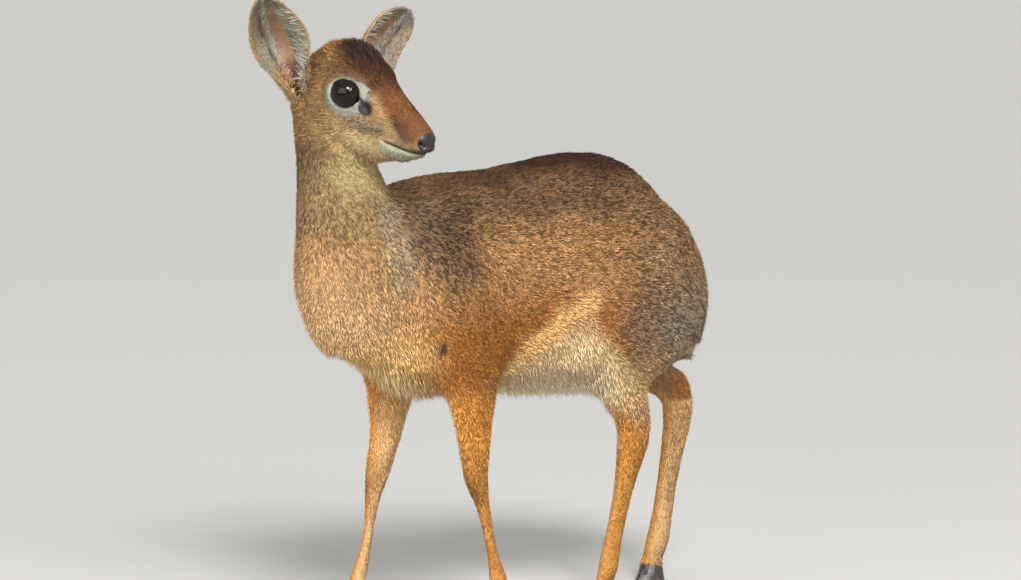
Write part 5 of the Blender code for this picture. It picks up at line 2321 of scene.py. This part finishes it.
    def _pieces(self, tufts: Tufts, name: str) -> list[bpy.types.Object]:
        """The tufts shared out over pieces, from the head down and from the chest back.

        Args:
            tufts: The tufts.
            name: The first part of the pieces' names.

        Returns:
            The pieces.
        """
        finish = CoatFinish().make()
        spot = BODY.into(tufts.roots)
        order = np.lexsort((-spot[:, 0], spot[:, 2] < HEAD_FROM))
        parts = math.ceil(len(order) * len(tufts.faces()) / self.most)
        made = []
        for number, rows in enumerate(np.array_split(order, parts), start=1):
            full_name = f"{name}_{number}"
            mesh = tufts.chosen(rows, tufts.rings).mesh(full_name)
            made.append(finished(put_in_scene(full_name, mesh), finish))
        return made


@dataclass
class Studio:
    """The floor, the lights and the camera at the photograph's angle."""

    azimuth: float = 49.0
    elevation: float = 5.0
    distance: float = 3.2
    target: Place = (-0.00268, 0.0133, 0.259)
    lens: float = 142.17
    floor_size: float = 300.0
    sky: Colour = (1.0, 0.985, 0.96)
    sky_strength: float = 0.66

    def build(self) -> None:
        """Sets up everything round the animal."""
        self._floor()
        self._camera()
        self._sun("key", 57.0, 37.0, 3.7, 16.0)
        self._sun("fill", 15.0, 7.0, 2.2, 50.0)
        self._lamp("window", 72.0, 30.0, 2.2, 40.0, 0.8)
        self._lamp("reflector", 22.0, -4.0, 1.6, 21.0, 1.0).visible_glossy = False
        world = bpy.data.worlds.new("studio")
        world.use_nodes = True
        world.node_tree.nodes["Background"].inputs["Color"].default_value = opaque(self.sky)
        world.node_tree.nodes["Background"].inputs["Strength"].default_value = self.sky_strength
        bpy.context.scene.world = world
        bpy.context.scene.view_settings.view_transform = "Standard"

    @staticmethod
    def _back(azimuth: float, elevation: float) -> Vector:
        """The way out from the animal at an azimuth and elevation in degrees.

        Args:
            azimuth: The turn round the animal from its left.
            elevation: The rise over the ground.

        Returns:
            A direction one long.
        """
        turn, rise = math.radians(azimuth), math.radians(elevation)
        flat = math.cos(rise)
        return Vector((math.sin(turn) * flat, -math.cos(turn) * flat, math.sin(rise)))

    def _camera(self) -> None:
        """The camera, looking at its target."""
        camera = put_in_scene("camera", bpy.data.cameras.new("camera"))
        camera.data.sensor_width = 36.0
        camera.data.lens = self.lens
        camera.data.clip_end = self.floor_size * 2
        back = self._back(self.azimuth, self.elevation)
        camera.location = Vector(self.target) + back * self.distance
        camera.rotation_euler = (-back).to_track_quat("-Z", "Y").to_euler()
        bpy.context.scene.camera = camera

    def _sun(self, name: str, azimuth: float, elevation: float, power: float, spread: float) -> None:
        """A soft light from far away, spread over so many degrees of the sky.

        Args:
            name: Its name.
            azimuth: Where it stands round the animal, in degrees.
            elevation: How high it stands, in degrees.
            power: How strong it is.
            spread: How many degrees of the sky it fills.
        """
        light = bpy.data.lights.new(name, "SUN")
        light.energy = power
        light.angle = math.radians(spread)
        lamp = put_in_scene(name, light)
        lamp.rotation_euler = (-self._back(azimuth, elevation)).to_track_quat("-Z", "Y").to_euler()

    def _lamp(
        self, name: str, azimuth: float, elevation: float, distance: float, power: float, size: float
    ) -> bpy.types.Object:
        """A square light near the animal.

        Args:
            name: Its name.
            azimuth: Where it stands round the animal, in degrees.
            elevation: How high it stands, in degrees.
            distance: How far off it is, in metres.
            power: How strong it is, in watts.
            size: How wide it is, in metres.

        Returns:
            The light.
        """
        light = bpy.data.lights.new(name, "AREA")
        light.energy = power
        light.size = size
        lamp = put_in_scene(name, light)
        back = self._back(azimuth, elevation)
        lamp.location = Vector(self.target) + back * distance
        lamp.rotation_euler = (-back).to_track_quat("-Z", "Y").to_euler()
        return lamp

    def _floor(self) -> None:
        """The floor that it stands on."""
        deselect_all()
        bpy.ops.mesh.primitive_plane_add(size=self.floor_size)
        floor = bpy.context.active_object
        floor.name = "floor"
        floor.data.materials.append(FloorFinish().make())


def main() -> None:
    """Builds the model, piece by piece."""
    logging.basicConfig(level=logging.INFO, format="%(message)s", stream=sys.stdout)
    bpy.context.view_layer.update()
    Studio().build()
    skin = Skin()
    ground = Ground(skin.build())
    ground.unwrap()
    Eyes().build()
    ears = Ears()
    ears.build()
    ears.comb()
    Hooves().build()
    Coat(ground).build()
    skin.lighten()


if __name__ == "__main__":
    main()
